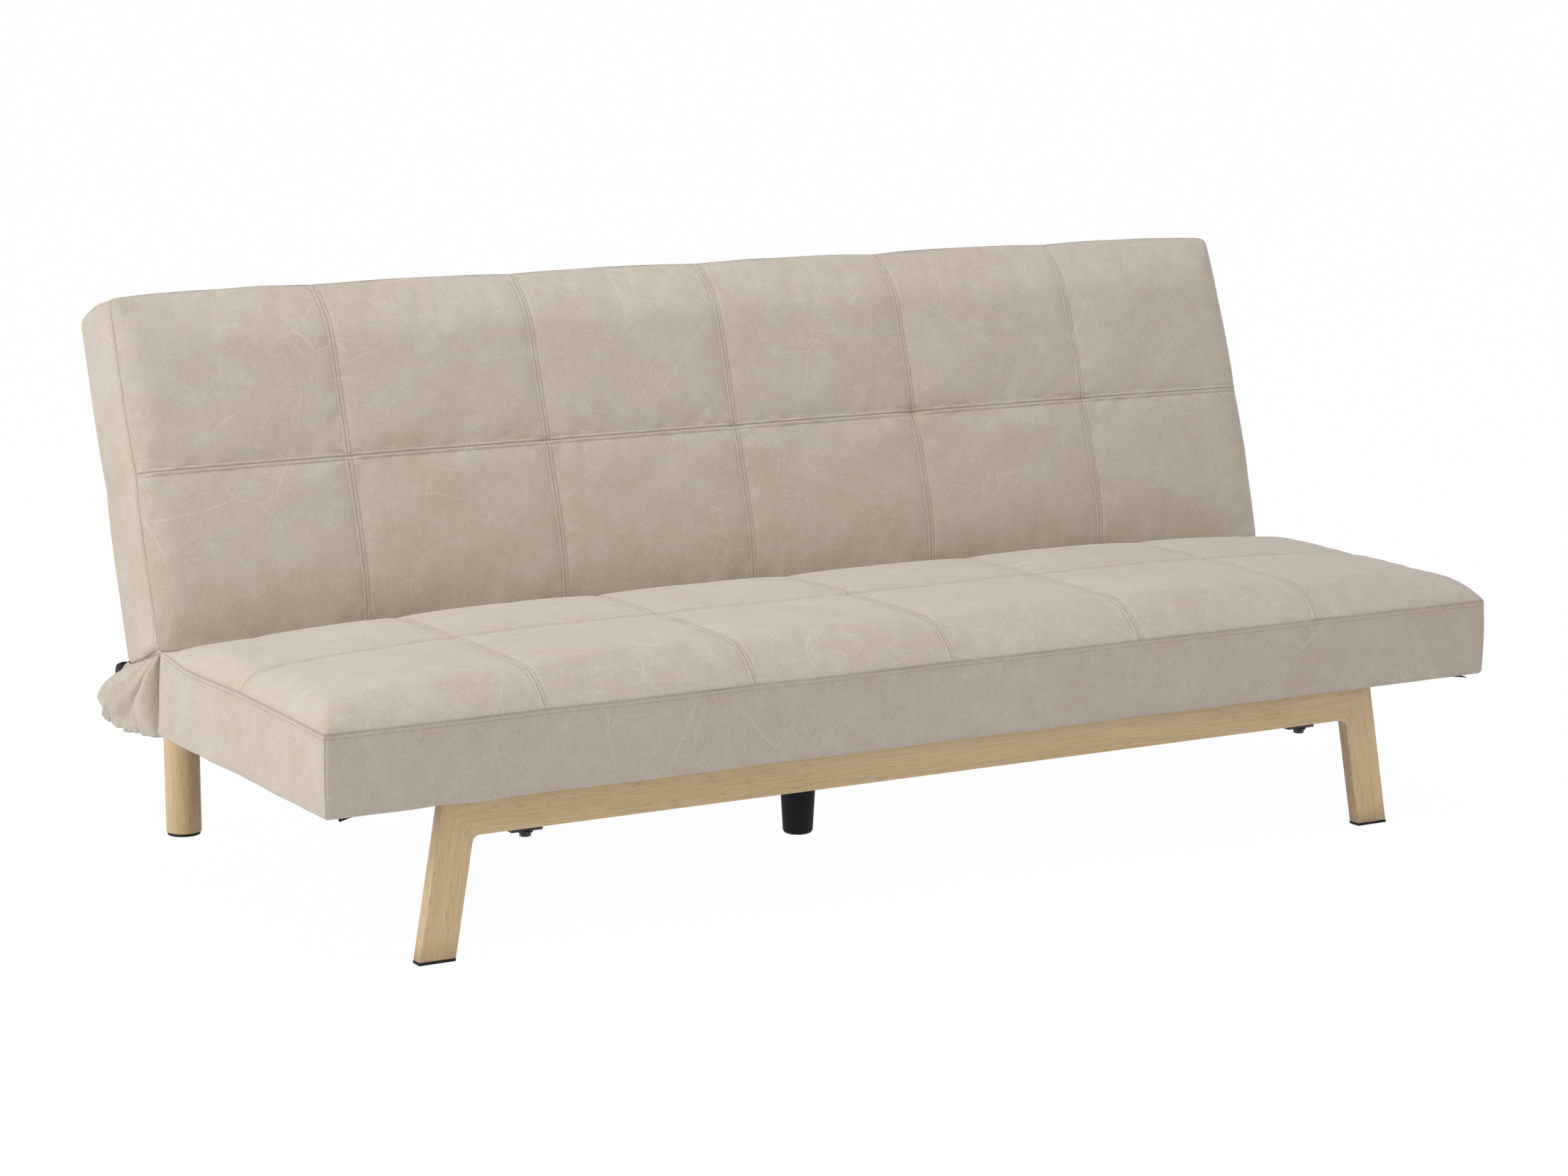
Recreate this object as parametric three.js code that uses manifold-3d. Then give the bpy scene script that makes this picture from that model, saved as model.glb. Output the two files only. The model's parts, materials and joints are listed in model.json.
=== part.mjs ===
// A click clack sofa bed: a padded seat and a padded back, hinged along the rear edge of the seat.
// Lifting the back forward frees the ratchets, and lowering it rearward makes a flat bed.
// Millimetres, +X along the sofa, +Y to the rear, +Z up. Every piece is one named mesh.
import * as THREE from "three";
import { mergeVertices } from "three/addons/utils/BufferGeometryUtils.js";
import Module from "manifold-3d";

const wasm = await Module();
wasm.setup();

// Padded halves
const bedWidth = 1800;
const seatDepth = 560;
const seatHeelOut = 20; // the rear boxing of the seat leans out by this much at its foot
const seatSeamHeight = 317;
const backLength = 471;
const backThickness = 122;
const backLeanDegrees = 18;
const backFootSetIn = 26; // lower front edge of the upright back, ahead of the seat's heel
const backFootRise = 11; // and above the seat's edge seam
const bedGap = 6; // between seat and back when flat

// Sewn padding
const panelsAcross = 6;
const panelsAlong = 2;
const seatCrown = 54;
const seatChannel = 8;
const seatTuft = 3;
const seatSideBow = 4; // of the edge seam, upward along the seat's ends
const backCrown = 28;
const backChannel = 8;
const backTuft = 6;
const backTopBulge = 15; // of the boxing along the back's top
const rollRun = 38; // over which the padding rolls up from its edge seam
const crownRun = 600; // over which it goes on rising from its ends
const hingeRollRun = 150; // over which it rises along the hinge, where the two halves meet
const boxingBulge = 3;
const seamDrawIn = 3;
const padCorner = 6;

// Frames inside the padding
const frameTube = 25;
const frameWall = 1.5;
const frameInset = 27;
const slatWidth = 62;
const slatThickness = 8;
const slatCorner = 2;
const seatSlats = 7;
const backSlats = 6;
const coverThickness = 1.5;
const coverInset = 9;
const panelThickness = 2.5;
const panelInset = 12;
const seatingGap = 0.3; // between pieces that touch
const overrun = 5; // of a cutting tool past the face that it opens

// Front leg frame
const legFrameSetback = 37;
const legFrameDepth = 20;
const legFrameWidth = 50;
const legFrameHeight = 208;
const legFrameHalf = 727; // at the top outer corner
const legFootOut = 36; // the foot stands out past that corner
const legFrameWall = 1.5;
const footCapHeight = 4;
const footSpigot = 12;
const spigotPlay = 0.4;

// Base behind the front frame
const armHalf = 609;
const armWidth = 40;
const armHeight = 30;
const baseWall = 2;
const rearLegSetback = 838;
const rearLegHalf = 758;
const rearLegRadius = 25;
const crossTubeOverhang = 17; // past the rear legs
const crossTubeDepth = 30;
const centreLegSetback = 408;
const centreLegFootRadius = 21.5;
const centreLegTopRadius = 30;
const centreLegEdge = 7;
const riserLength = 40;
const glideHeight = 4;
const glideSetIn = 2;
const glideStemRadius = 4;
const glideStemLength = 14;

// Clamp plates under the front rail
const clampWidth = 44;
const clampThickness = 4;
const clampLength = 66;
const clampLip = 4; // front rail left uncovered ahead of the plate
const boltRadius = 4;
const boltHeadRadius = 7.5;
const boltHeadHeight = 5.3;
const washerRadius = 10;
const washerThickness = 1.6;
const boltReach = 14;
const boltPlay = 0.3;

// Click clack hinges, layers counted outward from the seat frame's side
const hingePlate = 4;
const sidePadding = 24; // outside the seat frame's side tubes
const eyeRadius = 15;
const rivetRadius = 6;
const rivetHeadRadius = 10.5;
const rivetHeadHeight = 3;
const runningPlay = 0.3;
const clicks = 5;
const toothTipRadius = 42;
const toothRootRadius = 34;
const toothTailShare = 0.55; // of one click, the land behind the last tooth
const ratchetHubRadius = 18;
const noseLeadDegrees = 2; // the pawl's locking face, just behind straight down
const noseWidthShare = 0.42; // of one click
const nosePlay = 0.4;
const pawlPinAhead = 42;
const pawlPinBelow = 33.5;
const pawlPinRadius = 4;
const pawlBossRadius = 8;
const pawlBackRadius = 50;
const springThickness = 1;
const springStudRadius = 3;
const springStudAhead = 68;
const springStudBelow = 58;
const seatPlateFootRadius = 9;
const seatPlateFootAhead = 82;
const backArmRadius = 11;
const backArmFirst = 55;
const backArmLast = 112;
const hornReach = 206; // rearward, square to the back
const hornRise = 11; // above the back's lower end
const hornDrop = 42; // below it
const hornCorner = 13;
const pocketPlayInside = 7; // beside the rivet's heads
const pocketPlayOutside = 0.8;
const pocketFront = 112; // ahead of the seat's heel
const pocketRoof = 5; // padding left above, under the edge seam
const pocketSlot = 34; // open to the top, ahead of the seat's heel
const backPocketLength = 130;
const backPocketRoof = 3;

// Gathered cloth over the hinges
const gatherWidth = 52;
const gatherCloth = 3;
const gatherSideSetIn = 2;
const gatherReach = 213; // behind the seat's heel
const gatherHeight = 126;
const gatherHang = 19; // below the seat's underside
const gatherRuche = 1.6;
const gatherRuches = 15;
const gatherSlotPlay = 2;

// Points in a curve
const hexSides = 6;
const roundSteps = 24;
const plateSteps = 40;
const gatherSteps = 60;

const degrees = Math.PI / 180;
const foldAngle = (90 - backLeanDegrees) * degrees;
const clickAngle = foldAngle / clicks;
const halfWidth = bedWidth / 2;
const coverFloor = legFrameHeight + seatingGap;
const seatFloor = coverFloor + coverThickness + seatingGap;
const seatThickness = seatSeamHeight - seatFloor;
const seatTopDepth = seatDepth - seatHeelOut;
const railFloor = legFrameHeight - legFrameWidth;
const recessHeight = frameTube + slatThickness + 2 * seatingGap;
const boltSetback = legFrameSetback + legFrameDepth / 2;
const boltHoleInRail = [railFloor - overrun, railFloor + legFrameWall + overrun];
const crossTubeHalf = rearLegHalf + rearLegRadius + crossTubeOverhang;
const seatFrameHalf = halfWidth - sidePadding;
const seatPlateNear = seatFrameHalf + seatingGap;
const ratchetNear = seatPlateNear + hingePlate + seatingGap;
const backPlateNear = ratchetNear + hingePlate + seatingGap;
const backFrameHalf = backPlateNear - seatingGap;
const rivetInner = seatFrameHalf;
const rivetOuter = backPlateNear + hingePlate + seatingGap;
const pocketInner = rivetInner - rivetHeadHeight - pocketPlayInside;
const pocketOuter = rivetOuter + rivetHeadHeight + pocketPlayOutside;

// The pivot turns the back's lower front edge from its upright place to its flat one.
const uprightEdge = new THREE.Vector2(seatDepth - backFootSetIn, seatSeamHeight + backFootRise);
const flatEdge = new THREE.Vector2(seatDepth + bedGap, seatSeamHeight);
const chord = flatEdge.clone().sub(uprightEdge);
const pivotOffset = new THREE.Vector2(chord.y, -chord.x).divideScalar(2 * Math.tan(foldAngle / 2));
const pivot = uprightEdge.clone().add(flatEdge).divideScalar(2).add(pivotOffset);
// The same pivot as the back sees it, lying flat.
const backPivot = pivot.clone().sub(flatEdge);

const finish = (color, roughness, metalness = 0) => ({ color, roughness, metalness });
const canvasCloth = finish(0xbbb09f, 0.95);
const coverCloth = finish(0x222222, 0.95);
const blackSteel = finish(0x1c1c1d, 0.5, 0.6);
const zincSteel = finish(0xa9abad, 0.35, 0.9);
const oakFoil = finish(0xccb38c, 0.55);
const blackPlastic = finish(0x161616, 0.6);
const birch = finish(0xd9bf94, 0.6);

// Solids: geometry in and out of the solid kernel, which only joins and cuts.
function solid(geometry) {
  const bare = geometry.clone();
  bare.deleteAttribute("normal");
  bare.deleteAttribute("uv");
  const merged = mergeVertices(bare);
  return new wasm.Manifold(
    new wasm.Mesh({
      numProp: 3,
      vertProperties: new Float32Array(merged.attributes.position.array),
      triVerts: new Uint32Array(merged.index.array),
    }),
  );
}

function geometryOf(body) {
  const { vertProperties, triVerts } = body.getMesh();
  const geometry = new THREE.BufferGeometry();
  geometry.setAttribute("position", new THREE.BufferAttribute(vertProperties, 3));
  geometry.setIndex(new THREE.BufferAttribute(triVerts, 1));
  geometry.computeVertexNormals();
  return geometry;
}

function cut(geometry, ...tools) {
  return geometryOf(tools.reduce((body, tool) => body.subtract(solid(tool)), solid(geometry)));
}

function join(geometry, ...others) {
  return geometryOf(others.reduce((body, other) => body.add(solid(other)), solid(geometry)));
}

// A box between two corners.
function block(from, to) {
  const [width, depth, height] = to.map((value, axis) => value - from[axis]);
  const geometry = new THREE.BoxGeometry(width, depth, height);
  return geometry.translate(...to.map((value, axis) => (value + from[axis]) / 2));
}

// A square tube between two corners, open at both ends along one axis.
function tube(from, to, wall, axis) {
  const inner = (corner, way) =>
    corner.map((value, index) => value + way * (index === axis ? overrun : -wall));
  return cut(block(from, to), block(inner(from, -1), inner(to, 1)));
}

// A round bar along X, Y or Z, from one height on that axis to another.
function bar(radius, centre, axis, from, to, steps = roundSteps) {
  const geometry = new THREE.CylinderGeometry(radius, radius, to - from, steps);
  geometry.rotateX(Math.PI / 2);
  if (axis === "x") geometry.rotateY(Math.PI / 2);
  if (axis === "y") geometry.rotateX(-Math.PI / 2);
  const middle = (from + to) / 2;
  if (axis === "x") return geometry.translate(middle, centre[0], centre[1]);
  if (axis === "y") return geometry.translate(centre[0], middle, centre[1]);
  return geometry.translate(centre[0], centre[1], middle);
}

// The outline of a band stretched round several discs, each [y, z, radius].
function bandRound(discs, grow = 0) {
  return Array.from({ length: plateSteps }, (_, index) => {
    const way = (index / plateSteps) * 2 * Math.PI;
    const [y, z, radius] = discs.reduce((best, disc) => {
      const reach = ([u, v, r]) => u * Math.cos(way) + v * Math.sin(way) + r;
      return reach(disc) > reach(best) ? disc : best;
    });
    const out = radius + grow;
    return new THREE.Vector2(y + out * Math.cos(way), z + out * Math.sin(way));
  });
}

// A flat piece cut from an outline in Y and Z, standing on edge at one end of the sofa.
function sidePlate(outline, side, near, thickness, holes = []) {
  const shape = new THREE.Shape(outline);
  for (const [y, z, radius] of holes)
    shape.holes.push(new THREE.Path().absarc(y, z, radius, 0, 2 * Math.PI));
  const settings = { depth: thickness, bevelEnabled: false, curveSegments: roundSteps / 2 };
  const geometry = new THREE.ExtrudeGeometry(shape, settings);
  const [x, y, z] = [0, 1, 2].map((axis) => new THREE.Vector3().setComponent(axis, 1));
  geometry.applyMatrix4(new THREE.Matrix4().makeBasis(y, z, x));
  return geometry.translate(side > 0 ? near : -near - thickness, 0, 0);
}

// A flat piece cut from an outline in X and Z, standing across the sofa.
function frontPlate(outline, from, thickness) {
  const settings = { depth: thickness, bevelEnabled: false };
  const geometry = new THREE.ExtrudeGeometry(new THREE.Shape(outline), settings);
  return geometry.rotateX(Math.PI / 2).translate(0, from + thickness, 0);
}

const sofa = new THREE.Group();
const seat = new THREE.Group();
const base = new THREE.Group();
// The back is drawn as it lies flat, and its group leans it up about its lower front edge.
const back = new THREE.Group();
back.position.set(0, uprightEdge.x, uprightEdge.y);
back.rotation.x = foldAngle;
seat.position.z = seatSeamHeight;
sofa.add(seat, base, back);

function piece(group, name, geometry, look) {
  const mesh = new THREE.Mesh(geometry, new THREE.MeshStandardMaterial(look));
  mesh.name = name;
  group.add(mesh);
}

const sides = [
  ["left", -1],
  ["right", 1],
];

// Sewn pad: a crowned top with a channel drawn in along each seam and a tuft where seams cross,
// over a bulging boxing. Its edge seam starts at height zero, its front edge lies at Y zero.
const cellShares = [0, 0.04, 0.13, 0.32, 0.68, 0.87, 0.96];
const rowShares = [0, 0.06, 0.2, 0.5, 0.8, 0.94];
const boxingShares = [0.12, 0.45, 0.8, 1];
const rollPower = 2.5;
const crownPower = 3;
const crownShare = 0.5;
const hingeRollPower = 3;
const hingeRollEase = 1.4;
const channelShare = 0.5;
const channelPower = 2.5;
const tuftPower = 4;
const bulgePower = 10;

// Zero at the two ends of a run from 0 to 1 and one along its middle, flatter for a higher power.
const swell = (share, power) => 1 - Math.abs(2 * share - 1) ** power;

// From zero on an edge to one where the padding has its full height.
const roll = (distance, run, power) => 1 - (1 - Math.min(distance / run, 1)) ** power;

// One on each seam between panels, fading to zero inside them.
function channel(share, count) {
  const seam = Math.min(Math.max(Math.round(share * count), 1), count - 1);
  return Math.max(0, 1 - Math.abs(share * count - seam) / channelShare) ** channelPower;
}

function padTop(form, across, along) {
  const fromEnd = Math.min(across, 1 - across) * bedWidth;
  const rolled = roll(fromEnd, rollRun, rollPower);
  const ends = rolled + crownShare * (roll(fromEnd, crownRun, crownPower) - rolled);
  const fromHinge = form.hingeAt === 0 ? along : 1 - along;
  const free = roll((1 - fromHinge) * form.length, rollRun, rollPower);
  const hinged = roll(fromHinge * form.length, hingeRollRun, hingeRollPower) ** hingeRollEase;
  const [u, v] = [channel(across, panelsAcross), channel(along, panelsAlong)];
  const sunk = form.channel * Math.max(u, v) + form.tuft * (u * v) ** tuftPower;
  return form.sideBow * swell(along, 2) + ends * free * hinged * (form.crown - sunk);
}

// Where the edge runs past a seam between panels it is drawn in a little.
const edgeDraw = (share, count) => seamDrawIn * channel(share, count);

function sewnPad(form) {
  const { length, thickness, heelOut, endBulge } = form;
  const spread = (count, shares) => [
    ...Array.from({ length: count }, (_, panel) => shares.map((share) => (panel + share) / count)),
    1,
  ].flat();
  const across = spread(panelsAcross, cellShares);
  const along = spread(panelsAlong, rowShares);
  const columns = across.length;
  const rows = along.length;
  const points = [];
  const faces = [];
  const quad = (a, b, c, d) => faces.push(a, b, c, a, c, d);
  for (const v of along)
    for (const u of across) {
      const sideways = Math.sign(2 * u - 1) * (u === 0 || u === 1 ? 1 : 0);
      const endways = Math.sign(2 * v - 1) * (v === 0 || v === 1 ? 1 : 0);
      const corner = sideways && endways ? padCorner * (1 - Math.SQRT1_2) : 0;
      const draw = [
        sideways ? edgeDraw(v, panelsAlong) + corner : 0,
        endways ? edgeDraw(u, panelsAcross) + corner : 0,
      ];
      points.push([
        (u - 1 / 2) * bedWidth - sideways * draw[0],
        v * length - endways * draw[1],
        padTop(form, u, v),
      ]);
    }
  for (let row = 0; row + 1 < rows; row++)
    for (let column = 0; column + 1 < columns; column++) {
      const at = row * columns + column;
      quad(at, at + 1, at + 1 + columns, at + columns);
    }
  const rim = [
    ...across.map((_, column) => column),
    ...along.slice(1).map((_, row) => (row + 2) * columns - 1),
    ...across.slice(1).map((_, column) => rows * columns - 2 - column),
    ...along.slice(2).map((_, row) => (rows - 2 - row) * columns),
  ];
  let above = rim;
  for (const share of boxingShares) {
    const ring = rim.map((at) => {
      const [x, y, z] = points[at];
      const out = boxingBulge * swell(share, 2);
      const sideways = at % columns === 0 ? -1 : at % columns === columns - 1 ? 1 : 0;
      const front = at < columns ? -1 : 0;
      const rear = at >= (rows - 1) * columns ? 1 : 0;
      const heel = (heelOut * share * y) / length;
      const bowed = endBulge * swell(share, 2) * swell(across[at % columns], bulgePower);
      const rearward = (front + rear) * out + rear * bowed + heel;
      const level = z - share * (z + thickness);
      return points.push([x + sideways * out, y + rearward, level]) - 1;
    });
    ring.forEach((at, index) => {
      const next = (index + 1) % ring.length;
      quad(above[next], above[index], at, ring[next]);
    });
    above = ring;
  }
  const centre = points.push([0, (length + heelOut) / 2, -thickness]) - 1;
  above.forEach((at, index) => faces.push(centre, above[(index + 1) % above.length], at));
  const geometry = new THREE.BufferGeometry();
  geometry.setAttribute("position", new THREE.Float32BufferAttribute(points.flat(), 3));
  geometry.setIndex(faces);
  return geometry;
}

// The space under a pad that its frame and slats fill.
function frameRecess(half, length, thickness) {
  const side = half + seatingGap;
  const inset = frameInset - seatingGap;
  return block(
    [-side, inset, -thickness - overrun],
    [side, length - inset, recessHeight - thickness],
  );
}

// Four tubes and a row of slats, in the recess of a pad of this length and thickness.
function slattedFrame(group, prefix, ends, half, length, thickness, slats) {
  const floor = -thickness;
  const roof = floor + frameTube;
  const first = frameInset;
  const last = length - frameInset;
  const across = (from, to) =>
    tube([-half, from, floor], [half, to, roof], frameWall, 0);
  piece(group, `${prefix}_frame_${ends[0]}`, across(first, first + frameTube), blackSteel);
  piece(group, `${prefix}_frame_${ends[1]}`, across(last - frameTube, last), blackSteel);
  const from = first + frameTube + seatingGap;
  const to = last - frameTube - seatingGap;
  for (const [name, side] of sides) {
    const [near, far] = side > 0 ? [half - frameTube, half] : [-half, frameTube - half];
    const geometry = tube([near, from, floor], [far, to, roof], frameWall, 1);
    piece(group, `${prefix}_frame_${name}`, geometry, blackSteel);
  }
  const slatFloor = roof + seatingGap;
  for (let index = 0; index < slats; index++) {
    const middle = ((index + 1 / 2) / slats - 1 / 2) * 2 * (half - frameTube);
    const shape = new THREE.Shape();
    const [w, h, r] = [slatWidth / 2, slatThickness / 2, slatCorner];
    shape.moveTo(r - w, -h).lineTo(w - r, -h).absarc(w - r, r - h, r, -Math.PI / 2, 0);
    shape.lineTo(w, h - r).absarc(w - r, h - r, r, 0, Math.PI / 2);
    shape.lineTo(r - w, h).absarc(r - w, h - r, r, Math.PI / 2, Math.PI);
    shape.lineTo(-w, r - h).absarc(r - w, r - h, r, Math.PI, 1.5 * Math.PI);
    const settings = { depth: last - first, bevelEnabled: false, curveSegments: 3 };
    const geometry = new THREE.ExtrudeGeometry(shape, settings);
    geometry.rotateX(Math.PI / 2).translate(middle, last, slatFloor + h);
    piece(group, `${prefix}_slat_${index + 1}`, geometry, birch);
  }
}

// Seat
function buildSeat() {
  const pocket = sides.flatMap(([, side]) => {
    const xs = side > 0 ? [pocketInner, pocketOuter] : [-pocketOuter, -pocketInner];
    const front = seatDepth - pocketFront;
    const open = seatDepth - pocketSlot;
    const rear = seatDepth + boxingBulge + overrun;
    const floor = -seatThickness - overrun;
    return [
      block([xs[0], front, floor], [xs[1], rear, -pocketRoof]),
      block([xs[0], open, floor], [xs[1], rear, seatCrown + overrun]),
    ];
  });
  const pad = sewnPad({
    length: seatTopDepth, thickness: seatThickness, heelOut: seatHeelOut, endBulge: 0,
    crown: seatCrown, channel: seatChannel, tuft: seatTuft, sideBow: seatSideBow, hingeAt: 1,
  });
  const recess = frameRecess(seatFrameHalf, seatDepth, seatThickness);
  piece(seat, "seat_cushion", cut(pad, recess, ...pocket), canvasCloth);
  slattedFrame(
    seat, "seat", ["front", "rear"], seatFrameHalf, seatDepth, seatThickness, seatSlats,
  );
  // The dust cover leaves the hinge pockets open.
  const wide = halfWidth - coverInset;
  const narrow = pocketInner - seatingGap;
  const far = seatDepth - coverInset;
  const step = seatDepth - pocketFront - seatingGap;
  const corners = [
    [-wide, coverInset], [wide, coverInset], [wide, step], [narrow, step],
    [narrow, far], [-narrow, far], [-narrow, step], [-wide, step],
  ];
  const shape = new THREE.Shape(corners.map(([x, y]) => new THREE.Vector2(x, y)));
  const sheet = new THREE.ExtrudeGeometry(shape, { depth: coverThickness, bevelEnabled: false });
  piece(base, "seat_dust_cover", sheet.translate(0, 0, coverFloor), coverCloth);
}

// Front leg frame: a rail and two splayed legs of rectangular tube, mitred at the corners.
const splay = legFootOut / legFrameHeight;
const legLevelWidth = legFrameWidth * Math.hypot(1, splay);
const legLevelWall = legFrameWall * Math.hypot(1, splay);
const legOuter = (z) => legFrameHalf + (legFrameHeight - z) * splay;
const legInner = (z) => legOuter(z) - legLevelWidth;

// A leg from its foot up to the mitre, drawn in by a wall, the mitre shifted up by a lift.
function legOutline(side, foot, wall, lift) {
  const [crown, fork] = [legFrameHeight + lift, railFloor + lift];
  return [
    [legOuter(crown) - wall, crown],
    [legOuter(foot) - wall, foot],
    [legInner(foot) + wall, foot],
    [legInner(fork) + wall, fork],
  ].map(([x, z]) => new THREE.Vector2(side * x, z));
}

// The rail between its mitres, or its bore, which runs on past them.
function railOutline(wall, past) {
  const mitre = (z) => {
    const share = (z - railFloor) / legFrameWidth;
    return legInner(railFloor) + share * (legFrameHalf - legInner(railFloor)) + past;
  };
  const [roof, floor] = [legFrameHeight - wall, railFloor + wall];
  return [
    [-mitre(roof), roof], [mitre(roof), roof], [mitre(floor), floor], [-mitre(floor), floor],
  ].map(([x, z]) => new THREE.Vector2(x, z));
}

function footCap(side) {
  const outline = (floor, roof, inset) => [
    [legInner(floor) + inset, floor], [legOuter(floor) - inset, floor],
    [legOuter(roof) - inset, roof], [legInner(roof) + inset, roof],
  ].map(([x, z]) => new THREE.Vector2(side * x, z));
  const inset = legLevelWall + spigotPlay;
  const play = legFrameWall + spigotPlay;
  const spigotDepth = legFrameDepth - 2 * play;
  const spigot = outline(footCapHeight / 2, footCapHeight + footSpigot, inset);
  return join(
    frontPlate(outline(0, footCapHeight, 0), legFrameSetback, legFrameDepth),
    frontPlate(spigot, legFrameSetback + play, spigotDepth),
  );
}

function buildFrontFrame() {
  const bore = [legFrameSetback + legFrameWall, legFrameDepth - 2 * legFrameWall];
  const holes = sides.map(([, side]) =>
    bar(boltRadius + boltPlay, [side * armHalf, boltSetback], "z", ...boltHoleInRail),
  );
  const rail = frontPlate(railOutline(0, 0), legFrameSetback, legFrameDepth);
  const railBore = frontPlate(railOutline(legFrameWall, overrun), ...bore);
  piece(base, "front_rail", cut(rail, railBore, ...holes), oakFoil);
  const foot = footCapHeight + seatingGap;
  for (const [name, side] of sides) {
    const leg = legOutline(side, foot, 0, -seatingGap * Math.SQRT2);
    const legBore = legOutline(side, foot - overrun, legLevelWall, overrun);
    const body = frontPlate(leg, legFrameSetback, legFrameDepth);
    piece(base, `front_leg_${name}`, cut(body, frontPlate(legBore, ...bore)), oakFoil);
    piece(base, `front_foot_cap_${name}`, footCap(side), blackPlastic);
  }
}

// A clamp plate holds each arm to the front rail, with one bolt up into the rail.
function buildClamps() {
  for (const [name, side] of sides) {
    const xs = [side * armHalf - clampWidth / 2, side * armHalf + clampWidth / 2];
    const roof = railFloor - seatingGap;
    const floor = roof - clampThickness;
    const front = legFrameSetback + clampLip;
    const plate = block([xs[0], front, floor], [xs[1], front + clampLength, roof]);
    const centre = [side * armHalf, boltSetback];
    const hole = bar(boltRadius + boltPlay, centre, "z", floor - overrun, roof + overrun);
    piece(base, `front_clamp_plate_${name}`, cut(plate, hole), blackSteel);
    const washerRoof = floor - seatingGap;
    const washerFloor = washerRoof - washerThickness;
    const headRange = [washerFloor - boltHeadHeight, washerFloor + washerThickness / 2];
    const bolt = join(
      bar(boltRadius, centre, "z", washerFloor, roof + boltReach),
      bar(washerRadius, centre, "z", washerFloor, washerRoof),
      bar(boltHeadRadius, centre, "z", ...headRange, hexSides),
    );
    piece(base, `front_clamp_bolt_${name}`, bolt, zincSteel);
  }
}

// Two arms run back from the front rail to a cross tube on the rear legs.
function buildBase() {
  const [floor, roof] = [railFloor, railFloor + armHeight];
  const front = legFrameSetback + legFrameDepth + seatingGap;
  const crossFront = rearLegSetback - crossTubeDepth / 2;
  const riserMiddle = seatDepth - frameInset - frameTube / 2;
  for (const [name, side] of sides) {
    const xs = [side * armHalf - armWidth / 2, side * armHalf + armWidth / 2];
    const [from, to] = [[xs[0], front, floor], [xs[1], crossFront - seatingGap, roof]];
    piece(base, `base_arm_${name}`, tube(from, to, baseWall, 1), blackSteel);
    const riser = block(
      [xs[0], riserMiddle - riserLength / 2, roof + seatingGap],
      [xs[1], riserMiddle + riserLength / 2, legFrameHeight],
    );
    piece(base, `seat_riser_${name}`, riser, blackSteel);
    const centre = [side * rearLegHalf, rearLegSetback];
    const stemRoof = glideHeight + glideStemLength;
    const legRange = [glideHeight + seatingGap, floor - seatingGap];
    const stemHole = [glideHeight - overrun, stemRoof + seatingGap];
    const stemBore = bar(glideStemRadius + runningPlay, centre, "z", ...stemHole);
    const leg = cut(bar(rearLegRadius, centre, "z", ...legRange), stemBore);
    piece(base, `rear_leg_${name}`, leg, oakFoil);
    const glide = join(
      bar(rearLegRadius - glideSetIn, centre, "z", 0, glideHeight),
      bar(glideStemRadius, centre, "z", glideHeight / 2, stemRoof),
    );
    piece(base, `rear_glide_${name}`, glide, blackPlastic);
  }
  const cross = tube(
    [-crossTubeHalf, crossFront, floor], [crossTubeHalf, crossFront + crossTubeDepth, roof],
    baseWall, 0,
  );
  piece(base, "rear_cross_tube", cross, blackSteel);
  const reach = armHalf - armWidth / 2 - seatingGap;
  const railFront = centreLegSetback - crossTubeDepth / 2;
  const centreRail = tube(
    [-reach, railFront, floor], [reach, railFront + crossTubeDepth, roof], baseWall, 0,
  );
  piece(base, "centre_rail", centreRail, blackSteel);
  const edge = (angle) => new THREE.Vector2(
    centreLegFootRadius - centreLegEdge * (1 - Math.cos(angle)),
    centreLegEdge * (1 - Math.sin(angle)),
  );
  const profile = [
    new THREE.Vector2(0, 0),
    ...[90, 60, 30, 0].map((angle) => edge(angle * degrees)),
    new THREE.Vector2(centreLegTopRadius, floor - seatingGap),
    new THREE.Vector2(0, floor - seatingGap),
  ];
  const leg = new THREE.LatheGeometry(profile, roundSteps).rotateX(Math.PI / 2);
  piece(base, "centre_leg", leg.translate(0, centreLegSetback, 0), blackPlastic);
}

// Hinges. Their outlines are drawn about the pivot, with the back upright for the seat's side
// and with the back flat for the back's side.
const polar = (centre, radius, angle) =>
  new THREE.Vector2(centre.x + radius * Math.cos(angle), centre.y + radius * Math.sin(angle));
const about = (centre, y, z) => new THREE.Vector2(centre.x + y, centre.y + z);
const lockAngle = (noseLeadDegrees - 90) * degrees;
const lockCount = clicks + 2;

// Saw teeth: each has a radial locking face, and slopes down behind it to the next one's root.
function ratchetOutline() {
  const points = [];
  const lock = (index) => lockAngle - foldAngle + (index - 1) * clickAngle;
  for (let index = 0; index < lockCount; index++) {
    points.push(polar(backPivot, toothTipRadius, lock(index) - clickAngle));
    points.push(polar(backPivot, toothRootRadius, lock(index)));
  }
  const last = lock(lockCount - 1);
  points.push(polar(backPivot, toothTipRadius, last));
  points.push(polar(backPivot, toothTipRadius, last + toothTailShare * clickAngle));
  const from = last + toothTailShare * clickAngle;
  const to = lock(0) - clickAngle + 2 * Math.PI;
  for (let step = 0; step <= roundSteps / 2; step++)
    points.push(polar(backPivot, ratchetHubRadius, from + ((to - from) * step) / (roundSteps / 2)));
  return points;
}

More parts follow.
